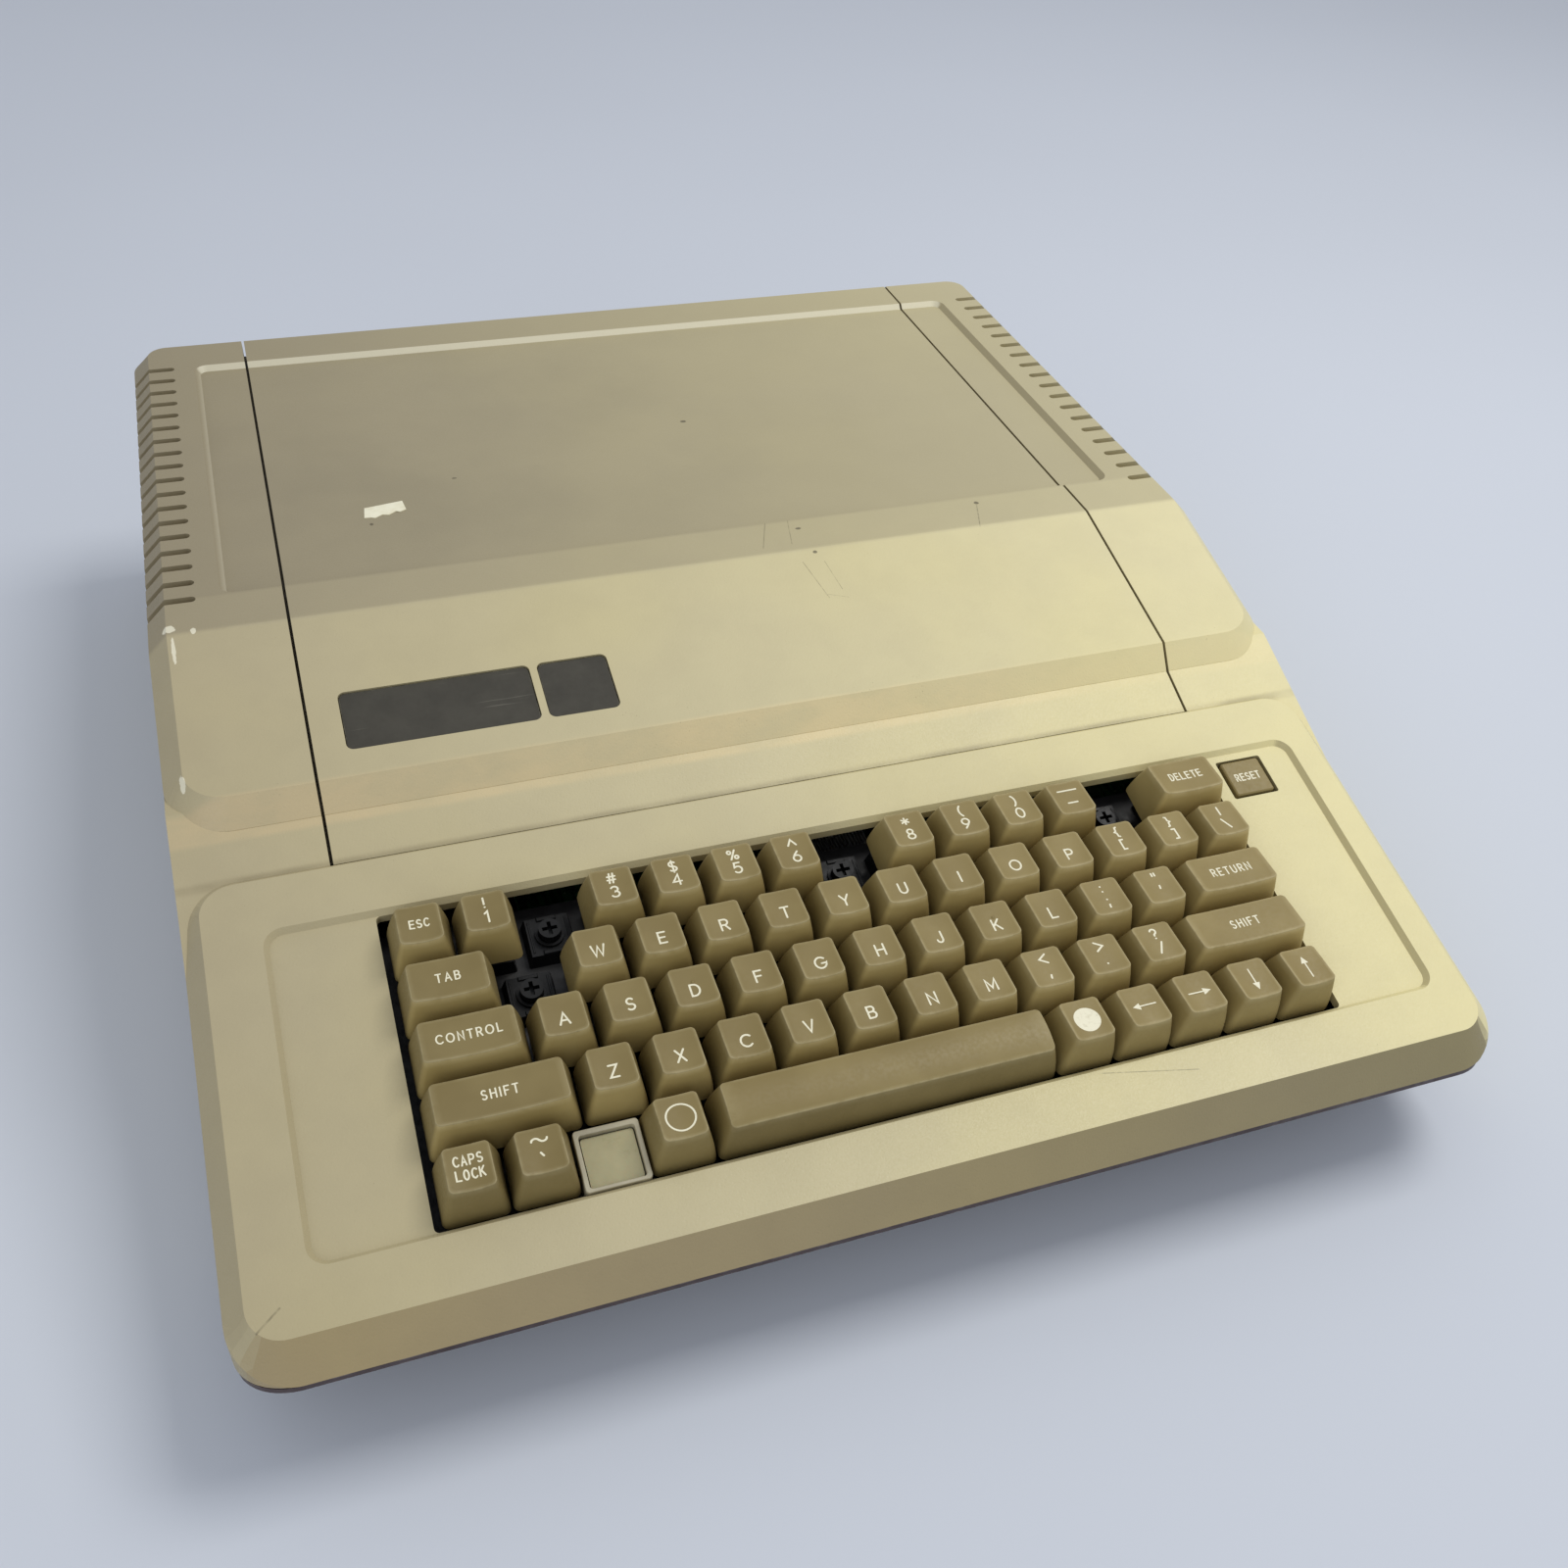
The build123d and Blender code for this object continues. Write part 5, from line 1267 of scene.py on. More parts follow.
def round_end(spot, heading, radius):
    """Points round a stroke's end, from its left side to its right."""
    return [
        spot + Vector((
            heading.x * math.cos(a) - heading.y * math.sin(a),
            heading.x * math.sin(a) + heading.y * math.cos(a),
        )) * radius
        for a in (math.radians(turn) for turn in END_TURNS)
    ]


def stroke_form(heap, points, radius, lift):
    """Add one stroke as a low closed ribbon with round ends.

    lift(x, y, raised) gives the place of a point of its upper or its lower side.
    """
    path = [Vector(p) for p in points]
    closed = (path[0] - path[-1]).length < radius * 0.2
    if closed:
        path.pop()
    count = len(path)
    left, right = [], []
    for k, spot in enumerate(path):
        before = path[k - 1] if (closed or k) else None
        after = path[(k + 1) % count] if (closed or k < count - 1) else None
        arms = [(spot - before).normalized()] if before is not None else []
        arms += [(after - spot).normalized()] if after is not None else []
        mean = sum(arms, Vector((0, 0)))
        mean = mean.normalized() if mean.length > 1e-6 else arms[0]
        side = Vector((-mean.y, mean.x))
        reach = radius / max(0.45, abs(mean.dot(arms[0])))
        left.append(spot + side * reach)
        right.append(spot - side * reach)
    if closed:
        outline = left + right[::-1]
    else:
        nose = round_end(path[-1], (path[-1] - path[-2]).normalized(), radius)
        tail = round_end(path[0], (path[0] - path[1]).normalized(), radius)
        outline = left + nose + right[::-1] + tail
    upper = [lift(p.x, p.y, True) for p in outline]
    lower = [lift(p.x, p.y, False) for p in outline]
    faces = closed_stroke_faces(count) if closed else open_stroke_faces(count, len(outline))
    heap.add(upper + lower, faces)


def closed_stroke_faces(count):
    """Faces of a stroke that runs round to its start."""
    total = 2 * count
    faces = []
    for k in range(count):
        j = (k + 1) % count
        across_j, across_k = total - 1 - j, total - 1 - k
        faces.append([across_k, across_j, j, k])
        faces.append([total + k, total + j, total + across_j, total + across_k])
        faces.append([k, j, total + j, total + k])
        faces.append([across_j, across_k, total + across_k, total + across_j])
    return faces


def open_stroke_faces(count, total):
    """Faces of a stroke with two ends, its outline of so many points in all."""
    ends = len(END_TURNS)
    faces = []
    for k in range(count - 1):
        across_j, across_k = total - 2 - ends - k, total - 1 - ends - k
        faces.append([across_k, across_j, k + 1, k])
        faces.append([total + k, total + k + 1, total + across_j, total + across_k])
    first_end = [count - 1 + k for k in range(ends + 2)]
    second_end = [total - 1 - ends + k for k in range(ends + 1)] + [0]
    for end in (first_end, second_end):
        faces.append(end[::-1])
        faces.append([total + k for k in end])
    for k in range(total):
        j = (k + 1) % total
        faces.append([k, j, total + j, total + k])
    return faces


# Legends: which way each arrow points in degrees, the sign over a key's own character, the
# characters of the keys named by a word, and the words of the wide keys.
ARROWS = {"left": 180, "right": 0, "down": -90, "up": 90}
SHIFTED = {
    "1": "!", "3": "#", "4": "$", "5": "%", "6": "^", "8": "*", "9": "(", "0": ")", "minus": "_",
    "left_bracket": "{", "right_bracket": "}", "backslash": "|", "semicolon": ":", "quote": '"',
    "comma": "<", "period": ">", "slash": "?", "tilde": "~",
}
PLAIN = {
    "minus": "-", "left_bracket": "[", "right_bracket": "]", "backslash": "\\", "semicolon": ";",
    "quote": "'", "comma": ",", "period": ".", "slash": "/", "tilde": "`",
}
WORDS = {
    "esc": ("ESC",), "delete": ("DELETE",), "tab": ("TAB",), "control": ("CONTROL",),
    "return": ("RETURN",), "shift_left": ("SHIFT",), "shift_right": ("SHIFT",),
    "caps_lock": ("CAPS", "LOCK"),
}
EVEN_WORDS = ("delete", "esc", "caps_lock")
BANK_ROWS = {
    "number_keys": ("1", "3", "4", "5", "6", "8", "9", "0", "minus"),
    "upper_letter_keys": ("w", "e", "r", "t", "y", "u", "i", "o", "p"),
    "lower_letter_keys": ("z", "x", "c", "v", "b", "n", "m", "comma", "period", "slash"),
    "punctuation_keys": ("left_bracket", "right_bracket", "backslash", "semicolon", "quote"),
}


def cell_of(points):
    """Centre on the deck and base width of the cap that these points belong to."""
    low, high = span([TO_DECK @ p for p in points])
    return (low.x + high.x) / 2, (low.y + high.y) / 2, high.x - low.x


def bank_cells(node):
    """The cells of a bank's keys, row by row from the left."""
    found = [cell_of(points) for points in islands(node)]
    found = [cell for cell in found if cell[2] > 2 * PLUNGER_RADIUS + MM]
    return sorted(found, key=lambda cell: (round(-cell[1] / KEY_PITCH), cell[0]))


MARK_STEPS = 36
MARK_SHIFT = -0.3 * MM
ARROW_SHIFT = -0.2 * MM
ARROW_HEAD = (2.5 * MM, 1.2 * MM)  # length, and half of the width
UPPER_SIGN, LOWER_SIGN, LETTER_PLACE = 0.28, 0.66, 0.62  # shares of the way down the top
WORD_LINE, FIRST_LINE, LINE_STEP = 0.5, 0.34, 0.31


def lettering(key, shape, matrix):
    """The legend of one key, laid on its top."""
    look = bpy.context.scene.key_finish
    heap = Heap()
    radius = look.stroke / 2
    drawn = []

    def row(word, place, size, weight=1.0, **style):
        """Centre a word at a share of the way down the top."""
        strokes, wide = word_strokes(word, **style)
        middle = CAP_SHIFT + (0.5 - place) * CAP_TOP_LENGTH
        for line in strokes:
            placed = [((x - wide / 2) * size, (y - 0.5) * size + middle) for x, y in line]
            drawn.append((placed, radius * weight))

    large, small = look.letter_height, look.word_height
    mark = bow(0, CAP_SHIFT + MARK_SHIFT, look.mark_radius, look.mark_radius, 0, 360, MARK_STEPS)
    if key in WORDS:
        lines = WORDS[key]
        for number, word in enumerate(lines):
            place = WORD_LINE if len(lines) == 1 else FIRST_LINE + LINE_STEP * number
            if key in EVEN_WORDS:
                row(word, place, small, 0.82, even=True)
            else:
                row(word, place, small, 0.78, stretch=NARROWED)
    elif key in SHIFTED:
        row(SHIFTED[key], UPPER_SIGN, large * 0.92)
        row(PLAIN.get(key, key), LOWER_SIGN, large)
    elif key in ARROWS:
        turn = Matrix.Rotation(math.radians(ARROWS[key]), 2)
        half = look.arrow_length / 2
        long, wide = ARROW_HEAD
        middle = CAP_SHIFT + ARROW_SHIFT
        shaft = [turn @ Vector((x, 0)) for x in (-half, half - wide)]
        drawn.append(([(p.x, p.y + middle) for p in shaft], radius * 0.75))
        head = [(half, 0), (half - long, wide), (half - long, -wide)]
        head = [turn @ Vector(p) for p in head]
        add_patch(heap, [(p.x, p.y + middle) for p in head], shape, matrix)
    elif key == "hollow_mark":
        drawn.append((mark, radius * 0.9))
    elif key == "solid_mark":
        add_patch(heap, mark[:-1], shape, matrix)
    elif len(key) == 1:
        row(key.upper(), LETTER_PLACE, large, stretch=SINGLE_LETTER)
    for number, (line, wide) in enumerate(drawn):
        proud = STROKE_PROUD + STROKE_STEP * (number % STROKE_LEVELS)

        def lift(x, y, raised, proud=proud):
            return matrix @ Vector((x, y, shape.top(x, y) + (proud if raised else -STROKE_SUNK)))

        stroke_form(heap, line, wide, lift)
    return heap if heap.vertices else None


def add_patch(heap, outline, shape, matrix):
    """Add a filled, slightly raised outline that follows the top."""
    count = len(outline)
    middle = (sum(p[0] for p in outline) / count, sum(p[1] for p in outline) / count)
    points = []
    for x, y in [*outline, middle]:
        points.append(matrix @ Vector((x, y, shape.top(x, y) + PATCH_PROUD)))
    for x, y in outline:
        points.append(matrix @ Vector((x, y, shape.top(x, y) - STROKE_SUNK)))
    turn = sum(
        outline[k][0] * outline[(k + 1) % count][1] - outline[(k + 1) % count][0] * outline[k][1]
        for k in range(count)
    )
    faces = []
    for k in range(count):
        j = (k + 1) % count
        faces.append([k, j, count])
        faces.append([j, k, count + 1 + k, count + 1 + j])
    if turn < 0:
        faces = [face[::-1] for face in faces]
    heap.add(points, faces)


# ------------------------------------------------------------------ operators
class StepOperator:
    """What the operators share. Each runs to its end or raises an error."""

    bl_options = {"REGISTER", "UNDO"}


class COMPUTER_OT_case(StepOperator, bpy.types.Operator):
    """Replace the case and lid with the same shells with softened edges"""

    bl_idname = "computer.case"
    bl_label = "Case and lid"

    def execute(self, context):
        look = context.scene.case_finish
        plastic = finish_once("case", case_plastic)
        for node, body in (("upper_case", "case"), ("lid", "lid")):
            shell = softened(node, f"{node}_shell", plastic, look.edge_radius)
            attach(shell, body, "case_plastic", node)
        return {"FINISHED"}


class COMPUTER_OT_glue_flake(StepOperator, bpy.types.Operator):
    """A plain torn strip of old label left on the tray in the lid"""

    bl_idname = "computer.glue_flake"
    bl_label = "Label remnant"

    # Three straight edges, then the torn one.
    outline = (
        (-116.0, 66.6), (-115.2, 73.4), (-101.2, 75.6), (-100.6, 69.4),
        (-102.9, 68.2), (-104.3, 68.9), (-107.1, 66.9), (-109.4, 67.6), (-112.2, 65.8), (-113.6, 66.5),
    )

    tray_height = 108.0
    thickness = 0.22
    crown = 0.05
    flat_share = 0.9

    def execute(self, context):
        pale = srgb(246, 241, 214)
        made = Finish("old_label", pale, 0.6)
        aged = made.ramp(made.noise(260, 4, 0.6), 0.35, 0.8, 0.0, 0.6)
        made.paint(made.mix(aged, pale, srgb(222, 212, 176)))
        made.relief(made.noise(420, 3, 0.6), 0.1 * MM, 0.6)
        edge = [(x * MM, y * MM, (self.tray_height + self.thickness) * MM) for x, y in self.outline]
        middle = sum((Vector(p) for p in edge), Vector((0, 0, 0))) / len(edge)
        rise = Vector((0, 0, self.crown * MM))
        inner = [middle.lerp(Vector(p), self.flat_share) + rise for p in edge]
        foot = [(x * MM, y * MM, (self.tray_height - self.crown) * MM) for x, y in self.outline]
        count = len(edge)
        following = [(k, (k + 1) % count) for k in range(count)]
        faces = [[2 * count + j, 2 * count + k, k, j] for k, j in following]
        faces += [[count + k, count + j, j, k] for k, j in following]
        faces.append([count + k for k in range(count)][::-1])
        flake = piece_from("label_flake", [*edge, *inner, *foot], faces, made.material, 30)
        attach(flake, "lid", "case_plastic")
        return {"FINISHED"}


class COMPUTER_OT_nameplates(StepOperator, bpy.types.Operator):
    """Two bare nameplates with rounded rims"""

    bl_idname = "computer.nameplates"
    bl_label = "Nameplates"

    def execute(self, context):
        plastic = finish_once("plate", nameplate_plastic)
        plates = softened("nameplates", "bare_plates", plastic, 0.25 * MM)
        attach(plates, "lid", "nameplate", "nameplates")
        return {"FINISHED"}


class COMPUTER_OT_keys(StepOperator, bpy.types.Operator):
    """Dished key caps with their legends, one object to a cap"""

    bl_idname = "computer.keys"
    bl_label = "Keys and legends"

    home_keys = ("d", "k")
    dot_shift = 1.2
    dot_profile = ((0.55, -0.2), (0.5, 0.12), (0.34, 0.28), (0.1, 0.34))
    reset_edge = 0.35
    reset_size = 2.7
    reset_stroke = 0.24
    reset_proud = 0.03
    reset_sunk = 0.1

    def execute(self, context):
        plastic = finish_once("key", key_plastic)
        legend = finish_once("legend", legend_plastic)
        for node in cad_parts:
            if node in BANK_ROWS:
                names = BANK_ROWS[node]
                cells = bank_cells(node)
                if len(cells) != len(names):
                    raise RuntimeError(f"{node} has {len(cells)} caps for {len(names)} names")
            elif node.startswith("key_") and node != "key_reset":
                names = (node.removeprefix("key_"),)
                cells = bank_cells(node)[:1]
            else:
                continue
            for name, (x, y, width) in zip(names, cells):
                matrix = TO_ROW @ Matrix.Translation((x, y, 0))
                # Painted light and shade on the front walls by row, and lighter caps to the right.
                front_painted_light = FIRST_ROW_FRONT if y < FIRST_ROW_Y else INNER_ROW_FRONT
                if name == "space":
                    front_painted_light = SPACE_FRONT
                tone = CAP_PAINTED_LIGHT * x / CAP_SPREAD
                shape = CapShape(width, name == "space", tone, front_painted_light)
                points, faces, marks = shape.mesh()
                placed = [matrix @ p for p in points]
                cap = piece_from(f"cap_{name}", placed, faces, plastic, 50, marks)
                attach(cap, node, "key_plastic", node)
                letters = lettering(name, shape, matrix)
                if letters:
                    attach(letters.piece(f"legend_{name}", legend), node, "key_plastic")
                if name in self.home_keys:
                    self.homing_dot(name, node, shape, matrix, plastic)
        self.reset(plastic, legend)
        return {"FINISHED"}

    def homing_dot(self, name, node, shape, matrix, plastic):
        """The small raised dot above the letter on the two home keys."""
        y = CAP_SHIFT + self.dot_shift * MM
        place = matrix @ Matrix.Translation(Vector((0, y, shape.top(0, y))))
        heap = Heap()
        heap.turned([(r * MM, h * MM) for r, h in self.dot_profile], 16, place)
        attach(heap.piece(f"home_dot_{name}", plastic, 60), node, "key_plastic")

    def reset(self, plastic, legend):
        """The low flat reset key."""
        x, y, _ = bank_cells("key_reset")[0]
        cap = softened("key_reset", "cap_reset", plastic, self.reset_edge * MM)
        attach(cap, "key_reset", "key_plastic", "key_reset")
        matrix = TO_ROW @ Matrix.Translation((x, y, 0))
        heap = Heap()
        strokes, wide = word_strokes("RESET", even=True)
        size = self.reset_size * MM
        for number, line in enumerate(strokes):
            proud = RESET_TOP + self.reset_proud * MM + STROKE_STEP * (number % STROKE_LEVELS)

            def lift(px, py, raised, proud=proud):
                return matrix @ Vector((px, py, proud if raised else RESET_TOP - self.reset_sunk * MM))

            placed = [((px - wide / 2) * size, (py - 0.5) * size) for px, py in line]
            stroke_form(heap, placed, self.reset_stroke * MM, lift)
        attach(heap.piece("legend_reset", legend), "key_reset", "key_plastic")


class COMPUTER_OT_switches(StepOperator, bpy.types.Operator):
    """Switch housings with their collars, the bare plungers and the keyboard plate"""

    bl_idname = "computer.switches"
    bl_label = "Key switches"

    housing_top = -12.0
    ring_radii = (3.6, 4.5)
    ring_heights = (-0.4, 1.0)
    ring_steps = 24

    def execute(self, context):
        black = finish_once("switch", switch_plastic)
        coat(black, "switch_housings", "bare_plungers")
        coat(finish_once("black_steel", black_steel), "keyboard_plate")
        coat(finish_once("board", board_mask), "keyboard_board")
        collars = Heap()
        for points in islands("switch_housings"):
            x, y, _ = cell_of(points)
            self.collar(collars, TO_ROW @ Matrix.Translation((x, y, self.housing_top * MM)))
        attach(collars.piece("switch_collars", black, 40), "case", "switch_black")
        return {"FINISHED"}

    def collar(self, heap, place):
        """A raised ring round the bore, and two latches and two ribs on the housing's sides."""
        inner, outer = (radius * MM for radius in self.ring_radii)
        low, high = (height * MM for height in self.ring_heights)
        profile = ((outer, low), (outer, high), (inner, high), (inner, low))
        heap.turned(profile, self.ring_steps, place, hollow=True)
        for side in (-1, 1):
            y0, y1 = sorted((side * 5.2 * MM, side * 6.6 * MM))
            heap.block((-3.0 * MM, y0, -1.5 * MM), (3.0 * MM, y1, 0.5 * MM), 0.2 * MM, place)
            x0, x1 = sorted((side * 5.4 * MM, side * 6.0 * MM))
            heap.block((x0, -5.5 * MM, -1.5 * MM), (x1, 5.5 * MM, 0.25 * MM), 0.1 * MM, place)


class COMPUTER_OT_power_light(StepOperator, bpy.types.Operator):
    """Power light: pale frame with a frosted lens"""

    bl_idname = "computer.power_light"
    bl_label = "Power light"

    def execute(self, context):
        plastic = finish_once("lamp", lamp_plastic)
        rim = softened("power_light_frame", "lamp_rim", plastic, 0.35 * MM)
        attach(rim, "case", "lamp_plastic", "power_light_frame")
        coat(finish_once("lens", lens_plastic), "power_light_lens")
        return {"FINISHED"}


class COMPUTER_OT_base(StepOperator, bpy.types.Operator):
    """Base pan, feet and screws with driver recesses"""

    bl_idname = "computer.base"
    bl_label = "Base"

    # A driver's cross goes on the screws that are this long and start this low.
    screw_length = 13.0
    screw_reach = 8.0
    cross = (1.9, 0.45)

    def execute(self, context):
        steel = finish_once("steel", screw_steel)
        coat(finish_once("pan", pan_paint), "base_pan")
        coat(finish_once("rubber", foot_rubber), "rubber_feet")
        coat(steel, "case_screws")
        coat(finish_once("nylon", nylon_plastic), "lid_studs", "stud_clips", "board_standoffs")
        dark = finish_once("black", black_plastic)
        recesses = Heap()
        for points in islands("case_screws"):
            low, high = span(points)
            if high.z - low.z < self.screw_length * MM or low.z > self.screw_reach * MM:
                continue
            middle = (low + high) / 2
            place = Matrix.Translation((middle.x, middle.y, low.z - 0.03 * MM))
            for wide, deep in (self.cross, self.cross[::-1]):
                corner = (wide * MM, deep * MM, 0.2 * MM)
                recesses.block((-wide * MM, -deep * MM, 0), corner, 0, place)
        attach(recesses.piece("screw_recesses", dark), "case", "dark_plastic")
        return {"FINISHED"}


class COMPUTER_OT_rear(StepOperator, bpy.types.Operator):
    """Rear panel, its covers, sockets, inlet and power switch"""

    bl_idname = "computer.rear"
    bl_label = "Rear panel"

    panel_y = 222.5
    jack_spots = ((152.0, 26.0, 5.6), (132.0, 26.0, 5.6), (108.0, 26.0, 6.4))
    nut_bore = 4.15
    nut_sides = 6
    sign_x = 152.0
    sign_heights = (("ON", 54.5), ("OFF", 25.5))
    sign_size = 2.6
    sign_stroke = 0.22

    def execute(self, context):
        black = finish_once("black", black_plastic)
        metal = finish_once("sheet", sheet_metal)
        nickel = finish_once("nickel", jack_nickel)
        coat(metal, "back_panel")
        coat(black, "mains_inlet", "power_switch_frame", "power_switch")
        coat(nickel, "rear_jacks", "game_connector")
        covers = softened("port_covers", "cover_plates", black, 0.5 * MM)
        attach(covers, "case", "dark_plastic", "port_covers")
        outward = Matrix.Rotation(math.radians(-90), 4, "X")
        nuts = Heap()
        for x, z, across in self.jack_spots:
            place = Matrix.Translation((x * MM, self.panel_y * MM, z * MM)) @ outward
            ring = [(across * MM, 0), (across * MM, 1.1 * MM), ((across - 0.6) * MM, 1.5 * MM)]
            self.ring_nut(nuts, ring, place)
        attach(nuts.piece("jack_nuts", nickel, 20), "case", "jack_metal")
        self.signs(finish_once("legend", legend_plastic))
        return {"FINISHED"}

    def ring_nut(self, heap, profile, place):
        """A six-sided nut with its hole, its last outer ring rounded off."""
        bore = self.nut_bore * MM
        rings = [*profile, (bore, profile[-1][1]), (bore, 0)]
        side = 2 * math.pi / self.nut_sides
        steps = self.nut_sides * 6
        points = []
        for number, (radius, height) in enumerate(rings):
            for k in range(steps):
                a = 2 * math.pi * k / steps
                fold = (a + side / 2) % side - side / 2
                flat = radius * math.cos(side / 2) / math.cos(fold)
                reach = flat if number < 2 else min(radius, flat)
                points.append(place @ Vector((reach * math.cos(a), reach * math.sin(a), height)))
        heap.add(points, wall_faces(steps, len(rings), hollow=True))

    def signs(self, legend):
        """ON and OFF beside the power switch, printed on the panel."""
        heap = Heap()
        for word, z in self.sign_heights:
            strokes, wide = word_strokes(word)
            for number, line in enumerate(strokes):

                def lift(px, py, raised, number=number):
                    out = 0.03 + 0.003 * number if raised else -0.05
                    return Vector((-px, (self.panel_y + out) * MM, py))

                placed = [
                    (((x - wide / 2) * self.sign_size + self.sign_x) * MM,
                     ((y - 0.5) * self.sign_size + z) * MM)
                    for x, y in line
                ]
                stroke_form(heap, placed, self.sign_stroke * MM, lift)
        attach(heap.piece("switch_signs", legend), "case", "dark_plastic")


class COMPUTER_OT_power_supply(StepOperator, bpy.types.Operator):
    """Power supply box with its rivets, and its board"""

    bl_idname = "computer.power_supply"
    bl_label = "Power supply"

    rivet_profile = ((2.4, 0), (2.2, 0.5), (1.5, 0.9), (0.5, 1.1))
    rivet_insets = (8.0, 10.0, 14.0)  # from the sides, the front and the rear

    def execute(self, context):
        coat(finish_once("sheet", sheet_metal), "power_supply_case")
        coat(finish_once("board", board_mask), "power_supply_board")
        coat(finish_once("ribbon", cable_sleeve), "power_lead", "keyboard_cable")
        low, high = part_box("power_supply_case")
        rivets = Heap()
        side, front, rear = (inset * MM for inset in self.rivet_insets)
        profile = [(r * MM, h * MM) for r, h in self.rivet_profile]
        for x in (low.x + side, high.x - side):
            for y in (low.y + front, (low.y + high.y) / 2, high.y - rear):
                rivets.turned(profile, 20, Matrix.Translation((x, y, high.z - 0.05 * MM)))
        steel = finish_once("steel", screw_steel)
        attach(rivets.piece("supply_rivets", steel, 60), "case", "steel")
        return {"FINISHED"}


class COMPUTER_OT_main_board(StepOperator, bpy.types.Operator):
    """Main board with slots, chips with leads, and small parts"""

    bl_idname = "computer.main_board"
    bl_label = "Main board"

    board_top = 19.6
    contacts_to_a_slot = 25
    contact_pitch = 2.5
    lead_pitch = 2.54
    resistor_rows = (66, 98, 124, 14)
    resistors_to_a_row = 14
    resistor_pitch = 12.2
    resistor_start = -54
    resistor_profile = (
        (0.7, -3.2), (1.2, -2.8), (1.0, -1.8), (1.0, 1.8), (1.2, 2.8), (0.7, 3.2)
    )
    empty_share = 0.3

    def execute(self, context):
        black = finish_once("black", black_plastic)
        coat(finish_once("board", board_mask), "main_board")
        coat(black, "expansion_slots")
        epoxy = finish_once("chip", chip_plastic)
        chips = softened("board_chips", "chip_packages", epoxy, 0.3 * MM)
        attach(chips, "case", "chip", "board_chips")
        leads = Heap()
        notches = Heap()
        for points in islands("board_chips"):
            low, high = span(points)
            self.leads(leads, low, high)
            place = Matrix.Translation(((low.x + high.x) / 2, high.y - 1.5 * MM, high.z - 0.1 * MM))
            notches.turned([(1.1 * MM, 0), (1.1 * MM, 0.13 * MM)], 16, place)
        tin = finish_once("tin", tinned_leads)
        attach(leads.piece("chip_leads", tin), "case", "steel")
        attach(notches.piece("chip_notches", black), "case", "chip")
        self.contacts(finish_once("gold", contact_gold))
        self.small_parts(finish_once("tan", resistor_body), tin)
        return {"FINISHED"}

    def leads(self, heap, low, high):
        """Bent leads down both long sides of one package."""
        step = self.lead_pitch * MM
        count = int((high.y - low.y - MM) / step)
        first = (low.y + high.y) / 2 - (count - 1) * step / 2
        shoulder = low.z + 0.55 * (high.z - low.z)
        for k in range(count):
            y = first + k * step
            for side, edge in ((-1, low.x), (1, high.x)):
                x0, x1 = sorted((edge, edge + side * 0.9 * MM))
                heap.block((x0, y - 0.6 * MM, shoulder - 0.25 * MM), (x1, y + 0.6 * MM, shoulder))
                x0, x1 = sorted((edge + side * 0.6 * MM, edge + side * 0.9 * MM))
                heap.block((x0, y - 0.3 * MM, low.z - 0.3 * MM), (x1, y + 0.3 * MM, shoulder))

    def contacts(self, gold):
        """Two rows of contacts in each slot."""
        heap = Heap()
        for points in islands("expansion_slots"):
            low, high = span(points)
            middle = (low.x + high.x) / 2
            bottom, top = low.z + 5 * MM, high.z - 0.3 * MM
            for k in range(self.contacts_to_a_slot):
                y = low.y + 4 * MM + k * self.contact_pitch * MM
                for side in (-1, 1):
                    x0, x1 = sorted((middle + side * 0.45 * MM, middle + side * 0.95 * MM))
                    heap.block((x0, y - 0.5 * MM, bottom), (x1, y + 0.5 * MM, top))
        attach(heap.piece("slot_contacts", gold), "case", "jack_metal")

    def small_parts(self, body, tin):
        """Rows of small resistors between the chips, with some places left empty."""
        forms, wires = Heap(), Heap()
        scatter = random.Random(11)
        along = Matrix.Rotation(math.radians(90), 4, "X")
        profile = [(r * MM, h * MM) for r, h in self.resistor_profile]
        for row_y in self.resistor_rows:
            for k in range(self.resistors_to_a_row):
                if scatter.random() < self.empty_share:
                    continue
                x = (self.resistor_start + k * self.resistor_pitch) * MM
                y = (row_y + scatter.uniform(-0.6, 0.6)) * MM
                place = Matrix.Translation((x, y, self.board_top * MM + 1.5 * MM)) @ along
                forms.turned(profile, 12, place)
                wires.turned([(0.3 * MM, -4.6 * MM), (0.3 * MM, 4.6 * MM)], 8, place)
        attach(forms.piece("small_resistors", body, 60), "case", "cable")
        attach(wires.piece("resistor_wires", tin, 60), "case", "steel")


class COMPUTER_OT_speaker(StepOperator, bpy.types.Operator):
    """Speaker under the keyboard"""

    bl_idname = "computer.speaker"
    bl_label = "Speaker"

    def execute(self, context):
        coat(finish_once("cone", paper_cone), "speaker")
        return {"FINISHED"}


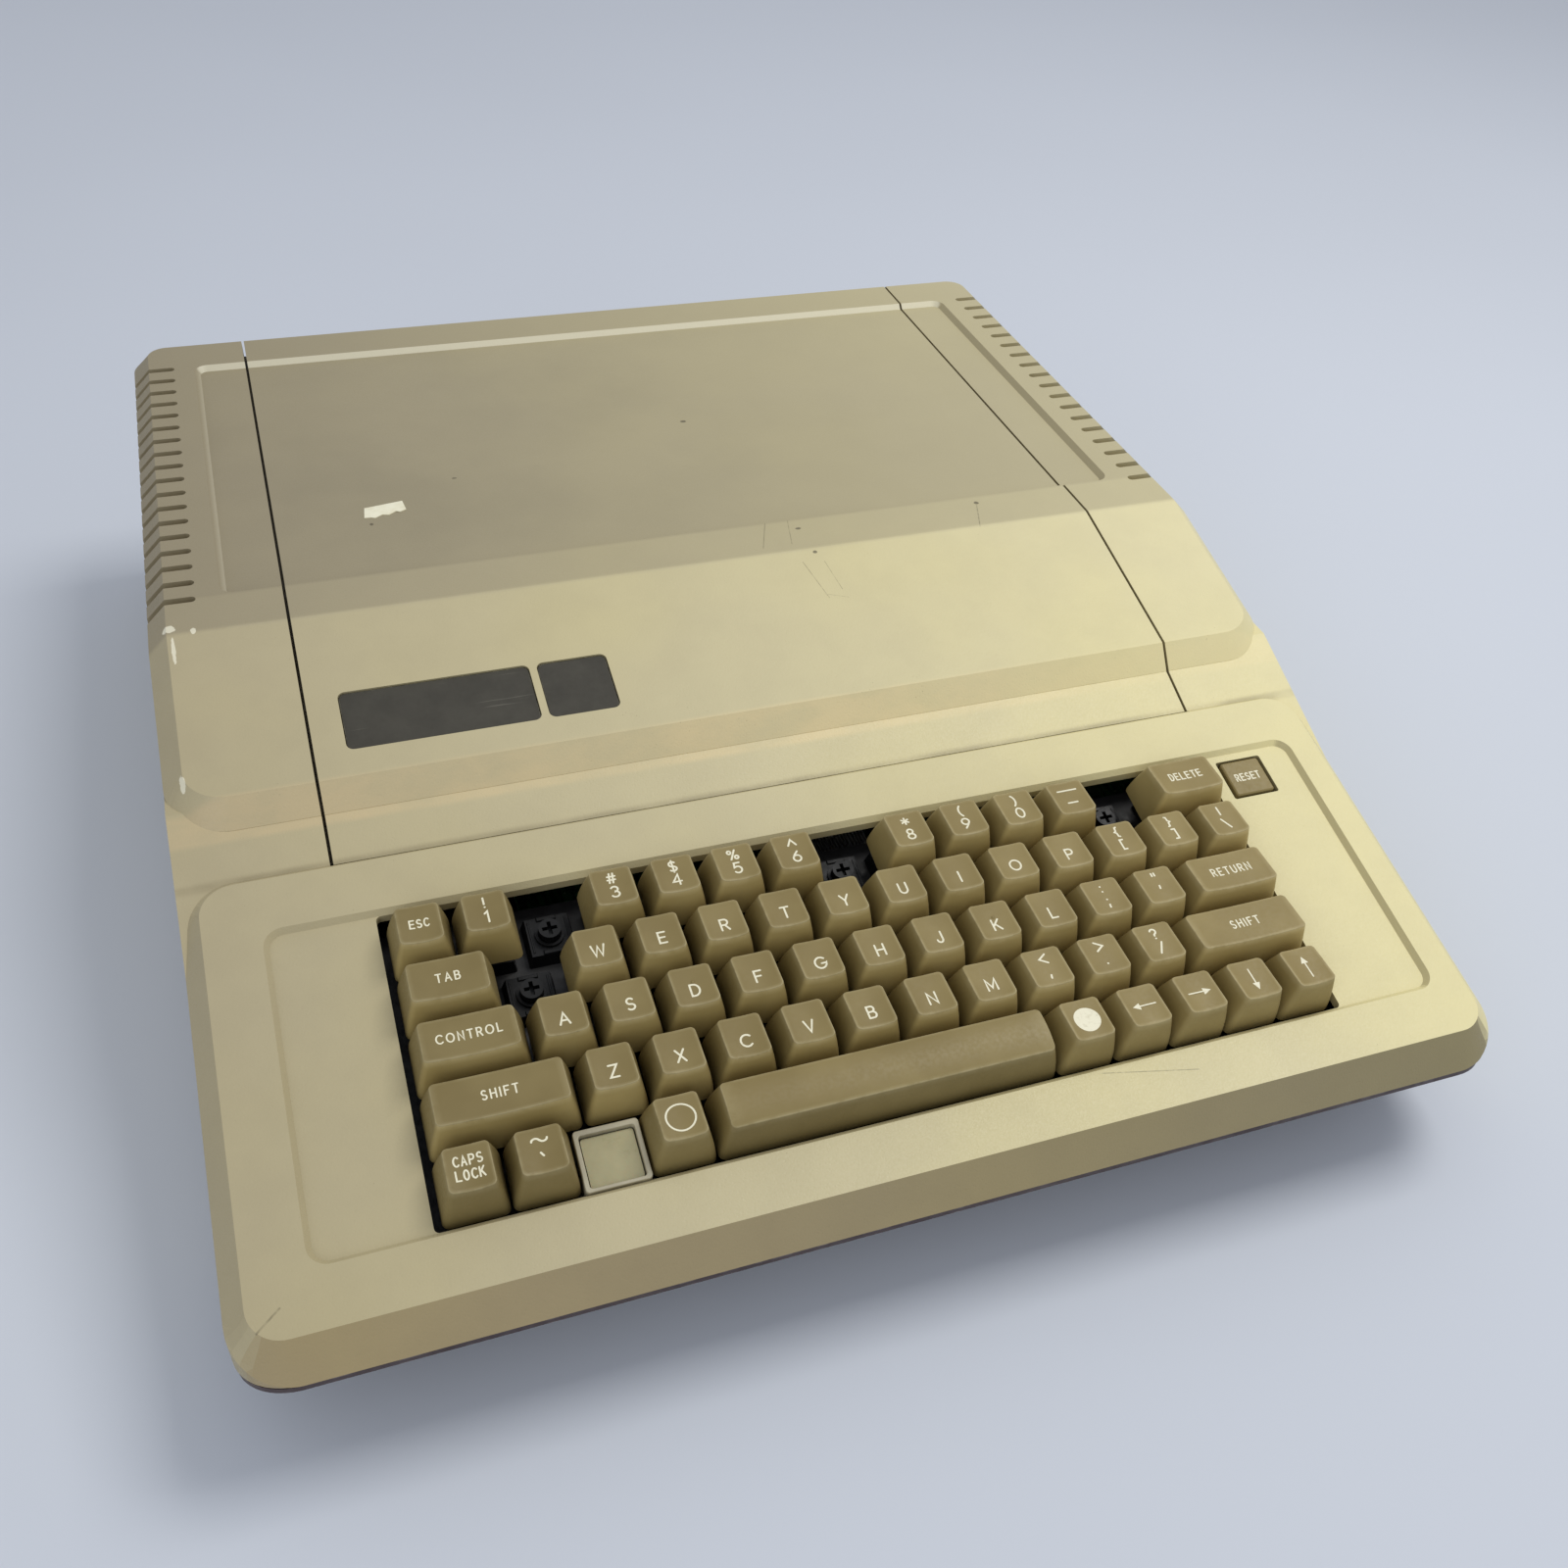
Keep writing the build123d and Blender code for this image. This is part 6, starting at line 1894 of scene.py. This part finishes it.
class COMPUTER_OT_stage(StepOperator, bpy.types.Operator):
    """Pale floor, soft lamps, surroundings and camera"""

    bl_idname = "computer.stage"
    bl_label = "Stage"

    reach = 14.0
    seen_light = 0.82
    aim = (0, 0, 0.05)
    key_place, key_size, key_tint = (0.75, 0.00, 1.49), 0.7, (1.0, 0.985, 0.95)
    fill_place, fill_size, fill_tint = (-1.1, -1.3, 0.9), 1.2, (0.95, 0.98, 1.0)
    camera_place = (-0.142188, -0.440920, 0.409649)
    camera_shift = (-0.01125, 0.0017)

    def execute(self, context):
        self.floor(context)
        self.surroundings(context)
        look = context.scene.stage_settings
        self.lamp("key_lamp", self.key_place, self.key_size, look.key_power, self.key_tint)
        self.lamp("fill_lamp", self.fill_place, self.fill_size, look.fill_power, self.fill_tint)
        self.camera(context)
        return {"FINISHED"}

    def floor(self, context):
        look = context.scene.stage_settings
        made = Finish("pale_floor", look.floor, 0.62)
        tone = made.ramp(made.noise(1.6, 2, 0.5), 0.3, 0.7)
        shade = [c * 0.975 for c in look.floor]
        made.paint(made.mix(tone, look.floor, shade))
        made.set(Specular_IOR_Level=0.2)
        r = self.reach
        ground = piece_from(
            "floor", [(-r, -r, 0), (r, -r, 0), (r, r, 0), (-r, r, 0)], [[0, 1, 2, 3]], made.material
        )

    def surroundings(self, context):
        """Pale all round, shown to the camera brighter than it lights the object."""
        look = context.scene.stage_settings
        world = bpy.data.worlds.new("pale_surroundings")
        world.use_nodes = True
        context.scene.world = world
        tree = world.node_tree
        tree.nodes.clear()
        seen = tree.nodes.new("ShaderNodeBackground")
        lit = tree.nodes.new("ShaderNodeBackground")
        path = tree.nodes.new("ShaderNodeLightPath")
        choose = tree.nodes.new("ShaderNodeMixShader")
        out = tree.nodes.new("ShaderNodeOutputWorld")
        seen.inputs["Color"].default_value = (*look.sky, 1)
        seen.inputs["Strength"].default_value = self.seen_light
        lit.inputs["Color"].default_value = (*look.sky, 1)
        lit.inputs["Strength"].default_value = look.sky_light
        tree.links.new(path.outputs["Is Camera Ray"], choose.inputs["Fac"])
        tree.links.new(lit.outputs[0], choose.inputs[1])
        tree.links.new(seen.outputs[0], choose.inputs[2])
        tree.links.new(choose.outputs[0], out.inputs["Surface"])

    def lamp(self, name, place, size, power, tint):
        """A square lamp aimed at the middle of the object."""
        data = bpy.data.lights.new(name, "AREA")
        data.shape = "SQUARE"
        data.size = size
        data.energy = power
        data.color = tint
        made = bpy.data.objects.new(name, data)
        made.location = place
        heading = Vector(self.aim) - Vector(place)
        made.rotation_euler = heading.to_track_quat("-Z", "Y").to_euler()
        bpy.context.scene.collection.objects.link(made)

    def camera(self, context):
        look = context.scene.stage_settings
        data = bpy.data.cameras.new("camera")
        data.sensor_width = 36
        data.lens = look.lens
        data.shift_x, data.shift_y = self.camera_shift
        data.clip_start = 0.02
        made = bpy.data.objects.new("camera", data)
        made.location = self.camera_place
        made.rotation_euler = (look.tilt, look.roll, look.turn)
        context.scene.collection.objects.link(made)
        context.scene.camera = made


OPERATORS = (
    COMPUTER_OT_case, COMPUTER_OT_glue_flake, COMPUTER_OT_nameplates, COMPUTER_OT_keys,
    COMPUTER_OT_switches, COMPUTER_OT_power_light, COMPUTER_OT_base, COMPUTER_OT_rear,
    COMPUTER_OT_power_supply, COMPUTER_OT_main_board, COMPUTER_OT_speaker, COMPUTER_OT_stage,
)


class COMPUTER_PT_panel(bpy.types.Panel):
    """Lists the steps in the sidebar"""

    bl_idname = "COMPUTER_PT_panel"
    bl_label = "Desk-top Computer"
    bl_space_type = "VIEW_3D"
    bl_region_type = "UI"
    bl_category = "Computer"

    def draw(self, context):
        column = self.layout.column(align=True)
        for step in OPERATORS:
            column.operator(step.bl_idname)
        for group in PROPERTY_GROUPS:
            settings = getattr(context.scene, group)
            box = self.layout.box()
            for name in settings.__annotations__:
                box.prop(settings, name)


CLASSES = (*PROPERTY_GROUPS.values(), *OPERATORS, COMPUTER_PT_panel)


def register():
    """Add the classes, and the settings on the scene."""
    for cls in CLASSES:
        bpy.utils.register_class(cls)
    for name, group in PROPERTY_GROUPS.items():
        setattr(bpy.types.Scene, name, PointerProperty(type=group))


def unregister():
    """Take them away again."""
    for name in PROPERTY_GROUPS:
        delattr(bpy.types.Scene, name)
    for cls in reversed(CLASSES):
        bpy.utils.unregister_class(cls)


def main():
    """Register, then run every step in order."""
    register()
    bpy.context.scene.view_settings.view_transform = "Standard"
    for step in OPERATORS:
        group, name = step.bl_idname.split(".")
        result = getattr(getattr(bpy.ops, group), name)()
        if "FINISHED" not in result:
            raise RuntimeError(f"{step.bl_label} did not finish")


if __name__ == "__main__":
    main()
